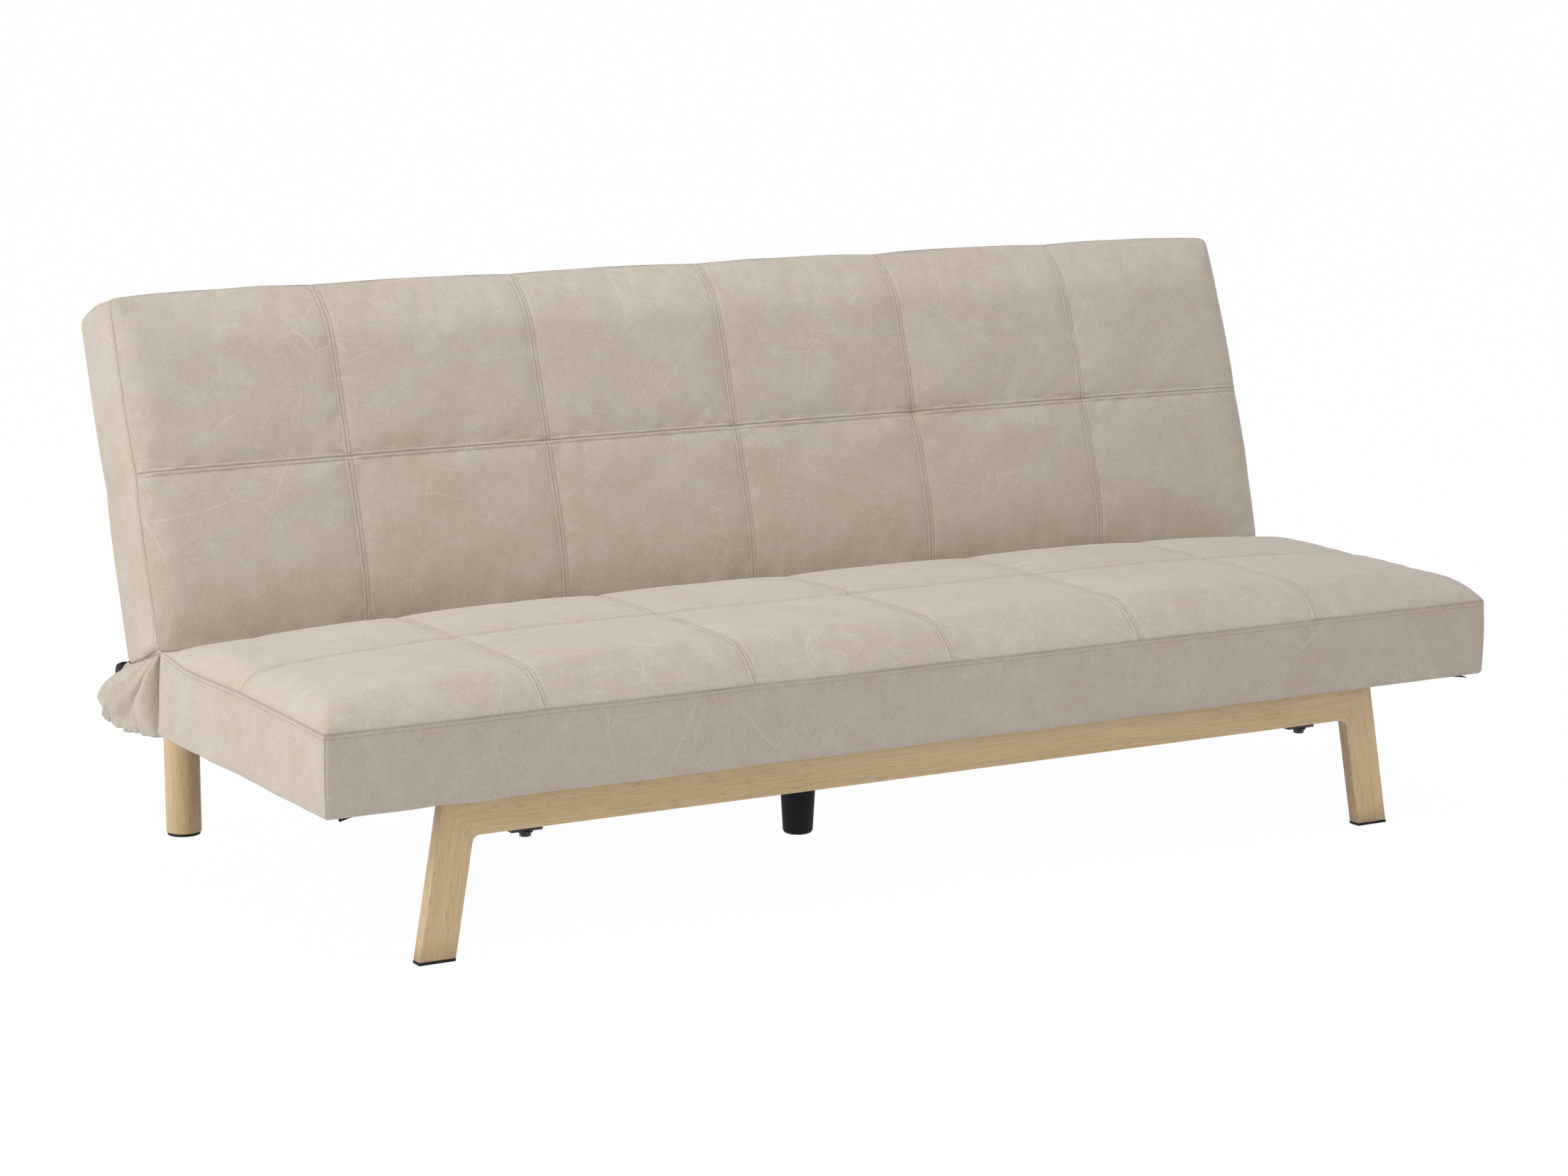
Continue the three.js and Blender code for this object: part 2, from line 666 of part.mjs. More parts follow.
function pawlGeometry(side) {
  const pin = about(pivot, -pawlPinAhead, -pawlPinBelow);
  const pinAngle = Math.atan2(-pawlPinBelow, -pawlPinAhead);
  const slope = toothRootRadius + (toothTipRadius - toothRootRadius) * noseWidthShare;
  const clear = toothTipRadius + 2 * nosePlay;
  const shoulder = lockAngle - (1 + noseWidthShare) * clickAngle / 2;
  const hollowTo = pinAngle + pawlBossRadius / clear;
  const hollow = [0, 1, 2, 3].map((step) =>
    polar(pivot, clear, shoulder + ((hollowTo - shoulder) * step) / 3),
  );
  const outline = [
    polar(pivot, toothRootRadius + nosePlay, lockAngle - nosePlay / toothRootRadius),
    polar(pivot, slope + nosePlay, lockAngle - noseWidthShare * clickAngle),
    ...hollow,
    pin,
    about(pin, 0, -pawlBossRadius),
    polar(pivot, pawlBackRadius, lockAngle - nosePlay / toothRootRadius),
  ];
  const boss = [[pin.x, pin.y, pawlBossRadius]];
  const layer = [side, ratchetNear, hingePlate];
  const bore = [[pin.x, pin.y, pawlPinRadius + runningPlay]];
  return cut(
    join(sidePlate(outline, ...layer), sidePlate(bandRound(boss), ...layer)),
    sidePlate(bandRound(bore), side, ratchetNear - overrun, hingePlate + 2 * overrun),
  );
}

const hornDiscs = [
  [hornRise - hornCorner, hornCorner - hornReach, hornCorner],
  [hornCorner - hornDrop, hornCorner - hornReach, hornCorner],
  [backPivot.x, backPivot.y, eyeRadius],
];

function buildHinges() {
  const rivetHole = rivetRadius + runningPlay;
  const footLevel = seatFloor + frameTube / 2;
  const pin = about(pivot, -pawlPinAhead, -pawlPinBelow);
  const stud = about(pivot, -springStudAhead, -springStudBelow);
  const inset = frameInset + seatPlateFootRadius;
  const seatPlate = bandRound([
    [pivot.x, pivot.y, eyeRadius],
    [pin.x, pin.y, pawlBossRadius],
    [pivot.x - seatPlateFootAhead, footLevel, seatPlateFootRadius],
    [seatDepth - inset, footLevel, seatPlateFootRadius],
  ]);
  const armLevel = (frameTube / 2) - backThickness;
  const arm = bandRound([
    [backPivot.x, backPivot.y, eyeRadius],
    [backArmFirst, armLevel, backArmRadius],
    [backArmLast, armLevel, backArmRadius],
  ]);
  for (const [name, side] of sides) {
    const across = (radius, centre, near, far) =>
      bar(radius, [centre.x, centre.y], "x", ...(side > 0 ? [near, far] : [-far, -near]));
    const studNear = seatPlateNear + hingePlate / 2;
    const studFar = ratchetNear + hingePlate;
    const plate = join(
      sidePlate(seatPlate, side, seatPlateNear, hingePlate, [[pivot.x, pivot.y, rivetHole]]),
      across(pawlPinRadius, pin, studNear, studFar),
      across(springStudRadius, stud, studNear, studFar),
    );
    piece(base, `hinge_seat_plate_${name}`, plate, blackSteel);
    piece(base, `hinge_pawl_${name}`, pawlGeometry(side), zincSteel);
    // The leaf spring lies on its stud and presses up under the pawl's nose.
    const underNose = -pawlBackRadius - seatingGap;
    const onStud = springStudRadius + seatingGap - springStudBelow;
    const tail = -springStudAhead - springStudRadius;
    const leaf = [
      about(pivot, tail, onStud), about(pivot, 0, underNose - springThickness),
      about(pivot, 0, underNose), about(pivot, tail, onStud + springThickness),
    ];
    const spring = sidePlate(leaf, side, ratchetNear, hingePlate);
    piece(base, `hinge_pawl_spring_${name}`, spring, zincSteel);
    const rivet = join(
      across(rivetRadius, pivot, rivetInner - rivetHeadHeight, rivetOuter + rivetHeadHeight),
      across(rivetHeadRadius, pivot, rivetInner - rivetHeadHeight, rivetInner),
      across(rivetHeadRadius, pivot, rivetOuter, rivetOuter + rivetHeadHeight),
    );
    piece(base, `hinge_pivot_rivet_${name}`, rivet, zincSteel);
    const bore = [[backPivot.x, backPivot.y, rivetHole]];
    const ratchet = sidePlate(ratchetOutline(), side, ratchetNear, hingePlate, bore);
    piece(back, `hinge_ratchet_${name}`, ratchet, zincSteel);
    const boreTool = sidePlate(
      bandRound(bore), side, backPlateNear - overrun, hingePlate + 2 * overrun,
    );
    const backPlate = cut(
      join(
        sidePlate(arm, side, backPlateNear, hingePlate),
        sidePlate(bandRound(hornDiscs), side, backPlateNear, hingePlate),
      ),
      boreTool,
    );
    piece(back, `hinge_back_plate_${name}`, backPlate, blackSteel);
  }
}

// Back
function buildBack() {
  const pocket = sides.map(([, side]) => {
    const xs = side > 0 ? [pocketInner, pocketOuter] : [-pocketOuter, -pocketInner];
    return block(
      [xs[0], -boxingBulge - overrun, -backThickness - overrun],
      [xs[1], backPocketLength, -backPocketRoof],
    );
  });
  const pad = sewnPad({
    length: backLength, thickness: backThickness, heelOut: 0, endBulge: backTopBulge,
    crown: backCrown, channel: backChannel, tuft: backTuft, sideBow: 0, hingeAt: 0,
  });
  const recess = frameRecess(backFrameHalf, backLength, backThickness);
  piece(back, "back_cushion", cut(pad, recess, ...pocket), canvasCloth);
  slattedFrame(
    back, "back", ["bottom", "top"], backFrameHalf, backLength, backThickness, backSlats,
  );
  // The rear panel is cut away over the hinge pockets.
  const wide = halfWidth - panelInset;
  const narrow = pocketInner - seatingGap;
  const step = backPocketLength + seatingGap;
  const [low, high] = [panelInset, backLength - panelInset];
  const corners = [
    [-narrow, low], [narrow, low], [narrow, step], [wide, step],
    [wide, high], [-wide, high], [-wide, step], [-narrow, step],
  ];
  const shape = new THREE.Shape(corners.map(([x, y]) => new THREE.Vector2(x, y)));
  const panel = new THREE.ExtrudeGeometry(shape, { depth: panelThickness, bevelEnabled: false });
  panel.translate(0, 0, -backThickness - seatingGap - panelThickness);
  piece(back, "back_rear_panel", panel, canvasCloth);
}

// Gathered cloth bag over each hinge, open towards the seat, seen from the end of the sofa.
// Each point is a share of the reach behind the seat's heel, and of the height above the hem.
const gatherHemShares = [
  [0.025, 0.17], [0.2, 0.095], [0.45, 0.03], [0.72, 0], [0.92, 0.056],
  [1, 0.23], [0.935, 0.413], [0.726, 0.579], [0.5, 0.714],
];
const gatherTopShares = [[0.428, 0.775], [0.2, 0.89], [-0.015, 0.985]];
const gatherHeartShares = [0.4, 0.45];

function buildGathers() {
  const at = ([u, v]) =>
    new THREE.Vector2(seatDepth + u * gatherReach, seatFloor - gatherHang + v * gatherHeight);
  const heart = at(gatherHeartShares);
  const hem = new THREE.SplineCurve(gatherHemShares.map(at)).getPoints(gatherSteps);
  const moved = (point, by) => point.clone().add(point.clone().sub(heart).setLength(by));
  const ruched = hem.map((point, index) => {
    const wave = Math.sin((index / gatherSteps) * gatherRuches * 2 * Math.PI);
    return moved(point, (wave - 1) * gatherRuche / 2);
  });
  const top = gatherTopShares.map(at);
  const outer = [...ruched, ...top];
  const inner = [
    ...ruched.map((point) => moved(point, -gatherCloth)),
    ...top.map((point) => moved(point, overrun)),
  ];
  const opening = about(inner[0], -gatherReach / 2, 0);
  const roofed = about(inner.at(-1), -gatherReach / 2, 0);
  const end = halfWidth - gatherSideSetIn;
  const horn = bandRound(hornDiscs, gatherSlotPlay);
  const slotWidth = hingePlate + 2 * gatherSlotPlay;
  for (const [name, side] of sides) {
    const body = sidePlate(outer, side, end - gatherWidth, gatherWidth);
    const hollow = sidePlate(
      [opening, ...inner, roofed], side, end - gatherWidth - overrun,
      gatherWidth + overrun - gatherCloth,
    );
    // The hinge's horn comes out through a slot.
    const slot = sidePlate(horn, side, backPlateNear - gatherSlotPlay, slotWidth);
    slot.rotateX(foldAngle).translate(0, uprightEdge.x, uprightEdge.y);
    piece(sofa, `back_cover_gather_${name}`, cut(body, hollow, slot), canvasCloth);
  }
}

buildSeat();
buildFrontFrame();
buildClamps();
buildBase();
buildHinges();
buildBack();
buildGathers();

// The origin is on the floor, midway between the front and rear of the upright sofa.
sofa.updateMatrixWorld(true);
const bounds = new THREE.Box3().setFromObject(sofa);
sofa.position.y = -(bounds.min.y + bounds.max.y) / 2;
sofa.updateMatrixWorld(true);
export default sofa;
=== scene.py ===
"""Dresses a packed click clack sofa bed: brushed canvas sewn over the two padded halves, gathered
cloth at the hinges, oak foil on the leg frame, black fittings, and a pale studio round it."""

import functools
import json
import math
from dataclasses import dataclass

import bmesh
import bpy
import numpy as np
from bpy.props import FloatProperty, FloatVectorProperty, IntProperty, PointerProperty
from bpy.types import Operator, Panel, PropertyGroup
from mathutils import Matrix, Vector


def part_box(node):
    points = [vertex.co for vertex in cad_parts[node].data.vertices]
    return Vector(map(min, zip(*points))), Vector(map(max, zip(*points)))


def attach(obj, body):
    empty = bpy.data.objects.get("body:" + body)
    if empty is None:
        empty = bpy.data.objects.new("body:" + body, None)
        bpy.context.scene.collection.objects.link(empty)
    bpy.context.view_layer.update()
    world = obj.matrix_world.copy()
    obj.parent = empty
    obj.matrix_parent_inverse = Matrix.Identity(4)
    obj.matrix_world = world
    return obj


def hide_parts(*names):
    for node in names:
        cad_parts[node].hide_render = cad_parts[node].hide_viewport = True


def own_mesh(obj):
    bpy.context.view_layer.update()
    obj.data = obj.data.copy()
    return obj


bl_info = {
    "name": "Click Clack Sofa Bed",
    "version": (1, 0, 0),
    "blender": (4, 5, 0),
    "location": "View3D > Sidebar > Sofa Bed",
    "description": "Sews, veneers and lights a click clack sofa bed round its packed frame",
    "category": "Object",
}

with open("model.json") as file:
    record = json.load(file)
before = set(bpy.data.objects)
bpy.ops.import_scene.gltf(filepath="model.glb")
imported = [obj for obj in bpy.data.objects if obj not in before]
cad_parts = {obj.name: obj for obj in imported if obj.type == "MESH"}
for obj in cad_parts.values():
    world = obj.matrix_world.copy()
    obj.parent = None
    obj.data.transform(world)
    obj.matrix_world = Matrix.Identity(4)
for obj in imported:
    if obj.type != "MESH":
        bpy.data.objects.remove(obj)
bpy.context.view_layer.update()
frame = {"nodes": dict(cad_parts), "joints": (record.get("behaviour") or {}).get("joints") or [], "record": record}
MM = 0.001
SIDES = {"left": -1, "right": 1}

SEAT_LOW, SEAT_HIGH = (np.array(corner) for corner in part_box("seat_cushion"))


# Settings


def from_screen(red, green, blue):
    """A linear colour from the 8-bit values that a screen shows it with."""
    share = np.array([red, green, blue]) / 255
    linear = np.where(share <= 0.04045, share / 12.92, ((share + 0.055) / 1.055) ** 2.4)
    return tuple(float(value) for value in linear)


def properties(kind, convert, rows, **shared):
    """Properties of a kind, labelled by their names, from rows of a description and a default."""
    return {
        name: kind(name=name.replace("_", " ").title(), description=text,
                   default=convert(*default), **shared)
        for name, (text, *default) in rows.items()
    }


def lengths(**rows):
    """Lengths, from millimetres."""
    return properties(FloatProperty, lambda value: value * MM, rows, unit="LENGTH")


def numbers(**rows):
    return properties(FloatProperty, float, rows)


def counts(**rows):
    return properties(IntProperty, int, rows)


def colours(**rows):
    """Colours, from the values that a screen shows them with."""
    return properties(FloatVectorProperty, from_screen, rows, subtype="COLOR", size=3, min=0, max=1)


class SofaPadding(PropertyGroup):
    """Sizes of the two padded halves, which lie where the frame has them."""

    __annotations__ = counts(
        panels_across=("Sewn panels in a row", 6),
        panels_along=("Rows of sewn panels", 2),
    ) | lengths(
        back_overhang=("How far each end of the back passes the seat", 3),
        right_draw=("How far the back's right end is drawn in", 2),
        right_bow=("How far its middle stands out past its corners", 9),
        boxing_bulge=("How far the upright sides swell out", 1.5),
        heel_out=("How far the seat's rear side leans out at its foot", 20),
        seam_height=("Edge seam of the seat above the floor", 317),
        back_length=("Back from its lower edge to its upper edge", 479),
        back_thickness=("Depth of the back's sides", 122),
        back_foot_in=("Lower front edge of the back ahead of the heel", 26),
        back_foot_rise=("The same edge above the seat's seam", 11),
        seat_crown=("Rise of the seat's padding above its seam", 49),
        back_crown=("Rise of the back's padding above its seam", 23),
        channel=("Depth of the seams between panels", 3),
        seat_tuft=("Further depth where the seat's seams cross", 3),
        back_tuft=("Further depth where the back's seams cross", 5),
        side_bow=("Rise of the edge seam along the seat's ends", 4),
        top_rise=("How far the back's top edge swells upward", 10),
        top_roll=("How far the back's top seam rolls to the rear", 18),
        top_bulge=("Further swell of the back's upper side", 5),
        rear_rise=("Rise of the seat's two rear corners", 12),
        roll_run=("Width over which padding rolls up from the ends", 34),
        seat_front_run=("The same along the seat's front edge", 74),
        back_top_run=("The same along the back's upper edge", 60),
        crown_run=("Width over which the crown goes on rising", 600),
        hinge_run=("The same along the hinge", 150),
        seat_corner=("Radius of the seat's corners", 7),
        back_corner=("Radius of the back's corners", 11),
        seat_hem=("Rounding of the seat's lower edge", 6),
        back_hem=("Rounding of the back's rear edge", 5),
        cell=("Size of the cloth's cells in the simulation", 11),
        swell_limit=("Most that a point may move as the pad fills", 2.8),
    ) | numbers(pressure=("Filling pressure", 4))


class SofaSewing(PropertyGroup):
    """Seams and thread."""

    __annotations__ = lengths(
        felled_width=("Width of the flat-felled seams", 12),
        edge_allowance=("Width of the seam allowance below the edge", 6),
        felled_rise=("How far a felled seam stands proud", 0.4),
        ridge_rise=("Rise of the two folds beside a seam's joint", 0.9),
        crease_depth=("Depth of the joint in a seam", 1.1),
        stitch_pitch=("From one stitch to the next", 4),
        stitch_length=("Visible length of a stitch", 2.7),
        thread_width=("Width of the thread", 0.8),
    )


class SofaColours(PropertyGroup):
    """The finishes' main colours."""

    __annotations__ = colours(
        canvas=("Middle tone of the cloth", 203, 195, 182),
        canvas_worn=("Tone of the cloth's crease marks", 226, 218, 206),
        canvas_deep=("Darker tone of the cloth's nap", 193, 180, 165),
        thread=("Sewing thread", 152, 127, 108),
        oak=("Middle tone of the oak", 228, 203, 163),
        oak_grain=("Pores and darker grain of the oak", 190, 156, 110),
        lining=("Felt under the seat", 34, 34, 35),
        coating=("Powder coat of the steel", 30, 30, 31),
        plastic=("Caps, glides and the centre leg", 21, 21, 22),
        zinc=("Plated hinge parts", 176, 178, 180),
        birch=("Slats", 221, 196, 154),
    )


class SofaStage(PropertyGroup):
    """The camera and the light."""

    __annotations__ = lengths(
        camera_back=("Camera ahead of the origin", 4720.4),
        camera_left=("Camera to the left of the origin", 2744.4),
        camera_height=("Camera above the floor", 1332.3),
    ) | numbers(
        lens=("Focal length on a 36 mm frame", 90.26),
        azimuth=("Degrees round to the left", 30.084),
        elevation=("Degrees above level", 10.204),
        key=("Power of the lamp at the left", 84),
        top=("Power of the lamp above", 72),
        fill=("Power of the lamp at the right", 23),
        low=("Power of the low lamp at the left", 9),
        ambient=("Strength of the surroundings", 0.35),
    )


# Shading


class Wire:
    """A value on its way through a shader. Arithmetic on it adds Math nodes."""

    def __init__(self, tree, socket):
        self.tree = tree
        self.socket = socket

    def math(self, operation, *terms):
        node = self.tree.nodes.new("ShaderNodeMath")
        node.operation = operation
        for slot, value in enumerate(terms):
            if isinstance(value, Wire):
                self.tree.links.new(value.socket, node.inputs[slot])
            else:
                node.inputs[slot].default_value = value
        return Wire(self.tree, node.outputs[0])

    def __add__(self, other):
        return self.math("ADD", self, other)

    def __rsub__(self, other):
        return self.math("SUBTRACT", other, self)

    def __mul__(self, other):
        return self.math("MULTIPLY", self, other)


class Finish:
    """A material, or a world. Its method node makes any shader node, and end ends the tree."""

    def __init__(self, name, holders="materials"):
        self.made = getattr(bpy.data, holders).new(name)
        self.made.use_nodes = True
        self.tree = self.made.node_tree
        self.tree.nodes.clear()
        self.place = self.node("TexCoord", output="Object")

    def node(self, kind, inputs=None, output=0, **settings):
        """A node of a kind, with its settings set before its inputs."""
        made = self.tree.nodes.new("ShaderNode" + kind)
        for name, value in settings.items():
            setattr(made, name, value)
        for name, value in (inputs or {}).items():
            if isinstance(value, Wire):
                self.tree.links.new(value.socket, made.inputs[name])
            else:
                made.inputs[name].default_value = value
        return Wire(self.tree, made.outputs[output])

    def noise(self, scale, detail=2, roughness=0.5, at=None, distortion=0):
        return self.node("TexNoise", {
            "Vector": at or self.place, "Scale": scale, "Detail": detail,
            "Roughness": roughness, "Distortion": distortion,
        })

    def noise_vector(self, scale, detail):
        """A noise with a direction, centred on zero."""
        tint = self.node("TexNoise", {"Vector": self.place, "Scale": scale, "Detail": detail},
                         output="Color")
        return self.node("VectorMath", {0: tint, 1: (0.5, 0.5, 0.5)}, operation="SUBTRACT")

    def mapped(self, scale, at=None):
        return self.node("Mapping", {"Vector": at or self.place, "Scale": scale})

    def span(self, value, low, high, to_low=0.0, to_high=1.0):
        """Zero below low, one above high, smooth between."""
        return self.node("MapRange", {
            "Value": value, "From Min": low, "From Max": high, "To Min": to_low, "To Max": to_high,
        }, interpolation_type="SMOOTHSTEP")

    def mix(self, share, first, second):
        """A colour between two colours."""
        ends = [tone if isinstance(tone, Wire) else (*tone, 1) for tone in (first, second)]
        return self.node("Mix", {0: share, 6: ends[0], 7: ends[1]}, output=2, data_type="RGBA")

    def over(self, tone, second, share, value, low, high):
        """A tone with a share of a second one over it, where a value passes from low to high."""
        return self.mix(self.span(value, low, high) * share, tone, second)

    def bump(self, height, distance, strength=1.0, normal=None):
        inputs = {"Height": height, "Distance": distance * MM, "Strength": strength}
        return self.node("Bump", inputs | ({"Normal": normal} if normal else {}))

    def surface(self, base, roughness, normal, **constants):
        """Ends the tree in a Principled shader. The constants go on its own sockets."""
        inputs = {"Base Color": base, "Roughness": roughness, "Normal": normal}
        for name, value in constants.items():
            inputs[name.replace("_", " ").title().replace(" Ior ", " IOR ")] = value
        return self.end(self.node("BsdfPrincipled", inputs))

    def grained(self, tone, grain, smoothest, roughest, depth, **constants):
        """A surface whose roughness and relief follow one grain."""
        return self.surface(tone, self.span(grain, 0.3, 0.7, smoothest, roughest),
                            self.bump(grain, depth, 0.5), **constants)

    def end(self, shader, output="OutputMaterial"):
        last = self.tree.nodes.new("ShaderNode" + output)
        self.tree.links.new(shader.socket, last.inputs["Surface"])
        return self.made


def shaded(tone, share):
    """A darker or lighter form of a colour."""
    return tuple(min(1, channel * share) for channel in tone)


def canvas_finish(colours):
    """Brushed canvas: mottled nap, a faint weave, pale marks where it has been creased, and painted shade along
    its seams, edge seam and corners.
    """
    finish = Finish("brushed_canvas")
    worn, deep = colours.canvas_worn, colours.canvas_deep
    broad = finish.noise(5.5, 3, 0.5, distortion=0.4)
    patch = finish.noise(34, 5, 0.7)
    nap = finish.noise(210, 4, 0.8)
    fibre = finish.noise(800, 2, 0.7)
    mottle = finish.span(broad * 0.3 + patch * 0.35 + nap * 0.35, 0.36, 0.66)
    tone = finish.mix(mottle, deep, colours.canvas)
    tone = finish.over(tone, worn, 0.14, patch, 0.5, 0.8)
    tone = finish.over(tone, shaded(deep, 0.72), 0.2, fibre, 0.46, 0.74)
    tone = finish.over(tone, worn, 0.3, nap, 0.5, 0.75)
    tone = finish.mix(crease_marks(finish, 6, 0.02, 0.009, 5) * 0.32, tone, worn)
    tone = finish.mix(crease_marks(finish, 15, 0.012, 0.016, 9) * 0.3, tone, worn)
    # Painted shade: the cloth darkens along its seams, its edge seam and its upright corners. Part of this is the
    # joints' own dark and needle holes, and part is the shadow of their creases painted in.
    seam = finish.node("Attribute", output="Fac", attribute_name="seam_shade")
    tone = finish.mix(seam * 0.6, tone, shaded(deep, 0.34))
    weave_at = finish.node("UVMap", uv_map="surface")
    weft, warp = (
        finish.node("TexWave", {"Vector": weave_at, "Scale": 260, "Distortion": 2.0},
                    bands_direction=way) for way in "XY"
    )
    relief = finish.bump(patch * 0.5 + broad * 0.5, 2.0, 0.3)
    relief = finish.bump(nap * 0.6 + fibre * 0.4, 0.6, 0.55, relief)
    relief = finish.bump(weft * warp, 0.12, 0.5, relief)
    return finish.surface(
        tone, finish.span(patch, 0.3, 0.7, 0.88, 0.97), relief,
        sheen_weight=0.3, sheen_roughness=0.5, specular_ior_level=0.2,
    )


def crease_marks(finish, scale, wander, width, mask_scale):
    """Thin pale lines: the borders of cells whose places wander, kept where a noise is high."""
    warped = finish.node("VectorMath", {
        0: finish.place,
        1: finish.node("VectorMath", {0: finish.noise_vector(scale * 1.3, 2), "Scale": wander},
                       operation="SCALE"),
    }, operation="ADD")
    border = finish.node("TexVoronoi", {"Vector": warped, "Scale": scale}, output="Distance",
                         feature="DISTANCE_TO_EDGE")
    kept = finish.span(finish.noise(mask_scale, 4, 0.6), 0.5, 0.62)
    return (1 - finish.span(border, 0.0, width)) * kept


def thread_finish(colours):
    """Twisted sewing thread."""
    finish = Finish("sewing_thread")
    strands = finish.noise(2600, 2)
    tone = finish.mix(strands, colours.thread, colours.canvas_deep)
    return finish.surface(tone, 0.85, finish.bump(strands, 0.2, 0.6), sheen_weight=0.2)


def oak_finish(colours, name, wrapped=False):
    """Light oak: soft bands, fine streaks and short pores, all along the grain. Wrapped oak takes
    its grain from the surface's own map, and solid oak has it upright."""
    finish = Finish(name)
    at = finish.node("UVMap", uv_map="surface") if wrapped else finish.place
    grain = colours.oak_grain

    def stretched(along, across):
        return finish.mapped((along, across, across) if wrapped else (across, across, along), at)

    bands = finish.noise(1, 4, 0.6, stretched(1.3, 24), 0.5)
    streaks = finish.noise(1, 4, 0.7, stretched(13, 380))
    fine = finish.noise(1, 3, 0.7, stretched(26, 1100))
    pores = finish.noise(1, 2, 0.5, stretched(55, 900))
    dark_pores = finish.span(pores, 0.56, 0.68) * finish.span(bands, 0.3, 0.6)
    tone = finish.over(colours.oak, grain, 0.22, bands, 0.3, 0.7)
    tone = finish.over(tone, grain, 0.4, streaks, 0.42, 0.72)
    tone = finish.over(tone, grain, 0.25, fine, 0.45, 0.75)
    tone = finish.mix(dark_pores * 0.5, tone, shaded(grain, 0.72))
    tone = finish.mix((1 - finish.span(streaks, 0.25, 0.5)) * 0.35, tone, shaded(colours.oak, 1.12))
    if wrapped:
        joint = finish.node("Attribute", output="Fac", attribute_name="seam_shade")
        tone = finish.mix(joint, tone, shaded(grain, 0.3))
    relief = finish.bump(dark_pores * -1.0 + streaks * 0.4, 0.2, 0.6)
    return finish.surface(tone, finish.span(streaks, 0.3, 0.7, 0.5, 0.64), relief,
                          specular_ior_level=0.35)


def coated_finish(colours):
    """Black powder coat over steel, with its fine orange peel."""
    finish = Finish("black_powder_coat")
    tone = finish.over(colours.coating, shaded(colours.coating, 1.9), 0.25,
                       finish.noise(30, 4), 0.5, 0.8)
    return finish.grained(tone, finish.noise(900, 3, 0.6), 0.42, 0.56, 0.12, coat_weight=0.1)


def plastic_finish(colours):
    """Black moulding with a fine spark-eroded grain."""
    finish = Finish("black_moulding")
    tone = finish.over(colours.plastic, shaded(colours.plastic, 1.8), 0.3,
                       finish.noise(45, 3), 0.45, 0.8)
    return finish.grained(tone, finish.noise(1400, 2, 0.6), 0.6, 0.75, 0.1,
                          specular_ior_level=0.25)


def zinc_finish(colours):
    """Zinc plate: grey metal with a faint cloud of tarnish and a rolled grain."""
    finish = Finish("zinc_plate")
    cloud = finish.noise(40, 4, 0.6)
    rolled = finish.noise(1, 3, 0.6, finish.mapped((900, 60, 60)))
    tone = finish.mix(cloud, colours.zinc, shaded(colours.zinc, 0.7))
    return finish.surface(tone, finish.span(cloud, 0.3, 0.7, 0.28, 0.46),
                          finish.bump(rolled, 0.06, 0.4), metallic=1.0)


def felt_finish(colours):
    """Thin black felt with loose fibres."""
    finish = Finish("lining_felt")
    fibres = finish.noise(700, 4, 0.7, distortion=1.2)
    tone = finish.mix(finish.span(fibres, 0.45, 0.75), colours.lining, shaded(colours.lining, 2.2))
    return finish.surface(tone, 0.96, finish.bump(fibres, 0.5, 0.7), sheen_weight=0.2)


def birch_finish(colours):
    """Bent birch laminate with its flecks along the slat."""
    finish = Finish("birch_laminate")
    flecks = finish.noise(1, 3, 0.6, finish.mapped((300, 12, 300)))
    tone = finish.over(colours.birch, colours.oak_grain, 0.5, flecks, 0.4, 0.75)
    return finish.grained(tone, flecks, 0.4, 0.55, 0.1, coat_weight=0.2)


def stage_finish(name, tone, daylight_share):
    """A pale matt surface that keeps a shadow and shows white to the camera."""
    finish = Finish(name)
    paths = ("Is Camera Ray", "Is Glossy Ray", "Is Transmission Ray")
    seen = [finish.node("LightPath", output=path) for path in paths]
    speckled = finish.mix(finish.noise(3, 2) * 0.02, tone, shaded(tone, 0.9))
    matt = finish.node("BsdfDiffuse", {"Color": speckled})
    white = finish.node("Emission", {"Color": (1, 1, 1, 1), "Strength": 1.0})
    share = (seen[0] + seen[1] + seen[2]) * daylight_share
    return finish.end(finish.node("MixShader", {0: share, 1: matt, 2: white}))


@functools.cache
def material_of(maker, *settings):
    """A finish's material, made the first time that it is asked for."""
    return maker(bpy.context.scene.sofa_colours, *settings)


# Meshes


def new_mesh(name, points, faces, material, maps=None, shade=None):
    """A smooth object from an array of points and an array of faces, with its surface map and
    its shading attribute."""
    mesh = bpy.data.meshes.new(name)
    mesh.from_pydata(points.tolist(), [], [[int(at) for at in face] for face in faces])
    if maps is not None:
        layer = mesh.uv_layers.new(name="surface")
        layer.data.foreach_set("uv", np.concatenate(maps).astype(np.float32).ravel())
    if shade is not None:
        layer = mesh.attributes.new("seam_shade", "FLOAT", "POINT")
        layer.data.foreach_set("value", shade.astype(np.float32))
    mesh.polygons.foreach_set("use_smooth", np.ones(len(mesh.polygons), bool))
    mesh.materials.append(material)
    mesh.update()
    return new_object(name, mesh)


def new_object(name, data):
    made = bpy.data.objects.new(name, data)
    bpy.context.scene.collection.objects.link(made)
    return made


def rows_of(items, name):
    """A property of three numbers, read from each item of a mesh."""
    values = np.empty(len(items) * 3, np.float32)
    items.foreach_get(name, values)
    return values.reshape(-1, 3)


def unit(rows):
    """Rows scaled to a length of one."""
    return rows / np.linalg.norm(rows, axis=1, keepdims=True)


def distances(path):
    """Distance along a path to each of its points."""
    return np.concatenate([[0], np.cumsum(np.linalg.norm(np.diff(path, axis=0), axis=1))])


def add_wall(piece, thickness, offset):
    wall = piece.modifiers.new("cloth", "SOLIDIFY")
    wall.thickness = thickness
    wall.offset = offset


def break_edges(piece, width):
    bevel = piece.modifiers.new("broken_edges", "BEVEL")
    bevel.width = width
    bevel.segments = 2
    bevel.limit_method = "ANGLE"
    bevel.angle_limit = math.radians(40)
    return bevel


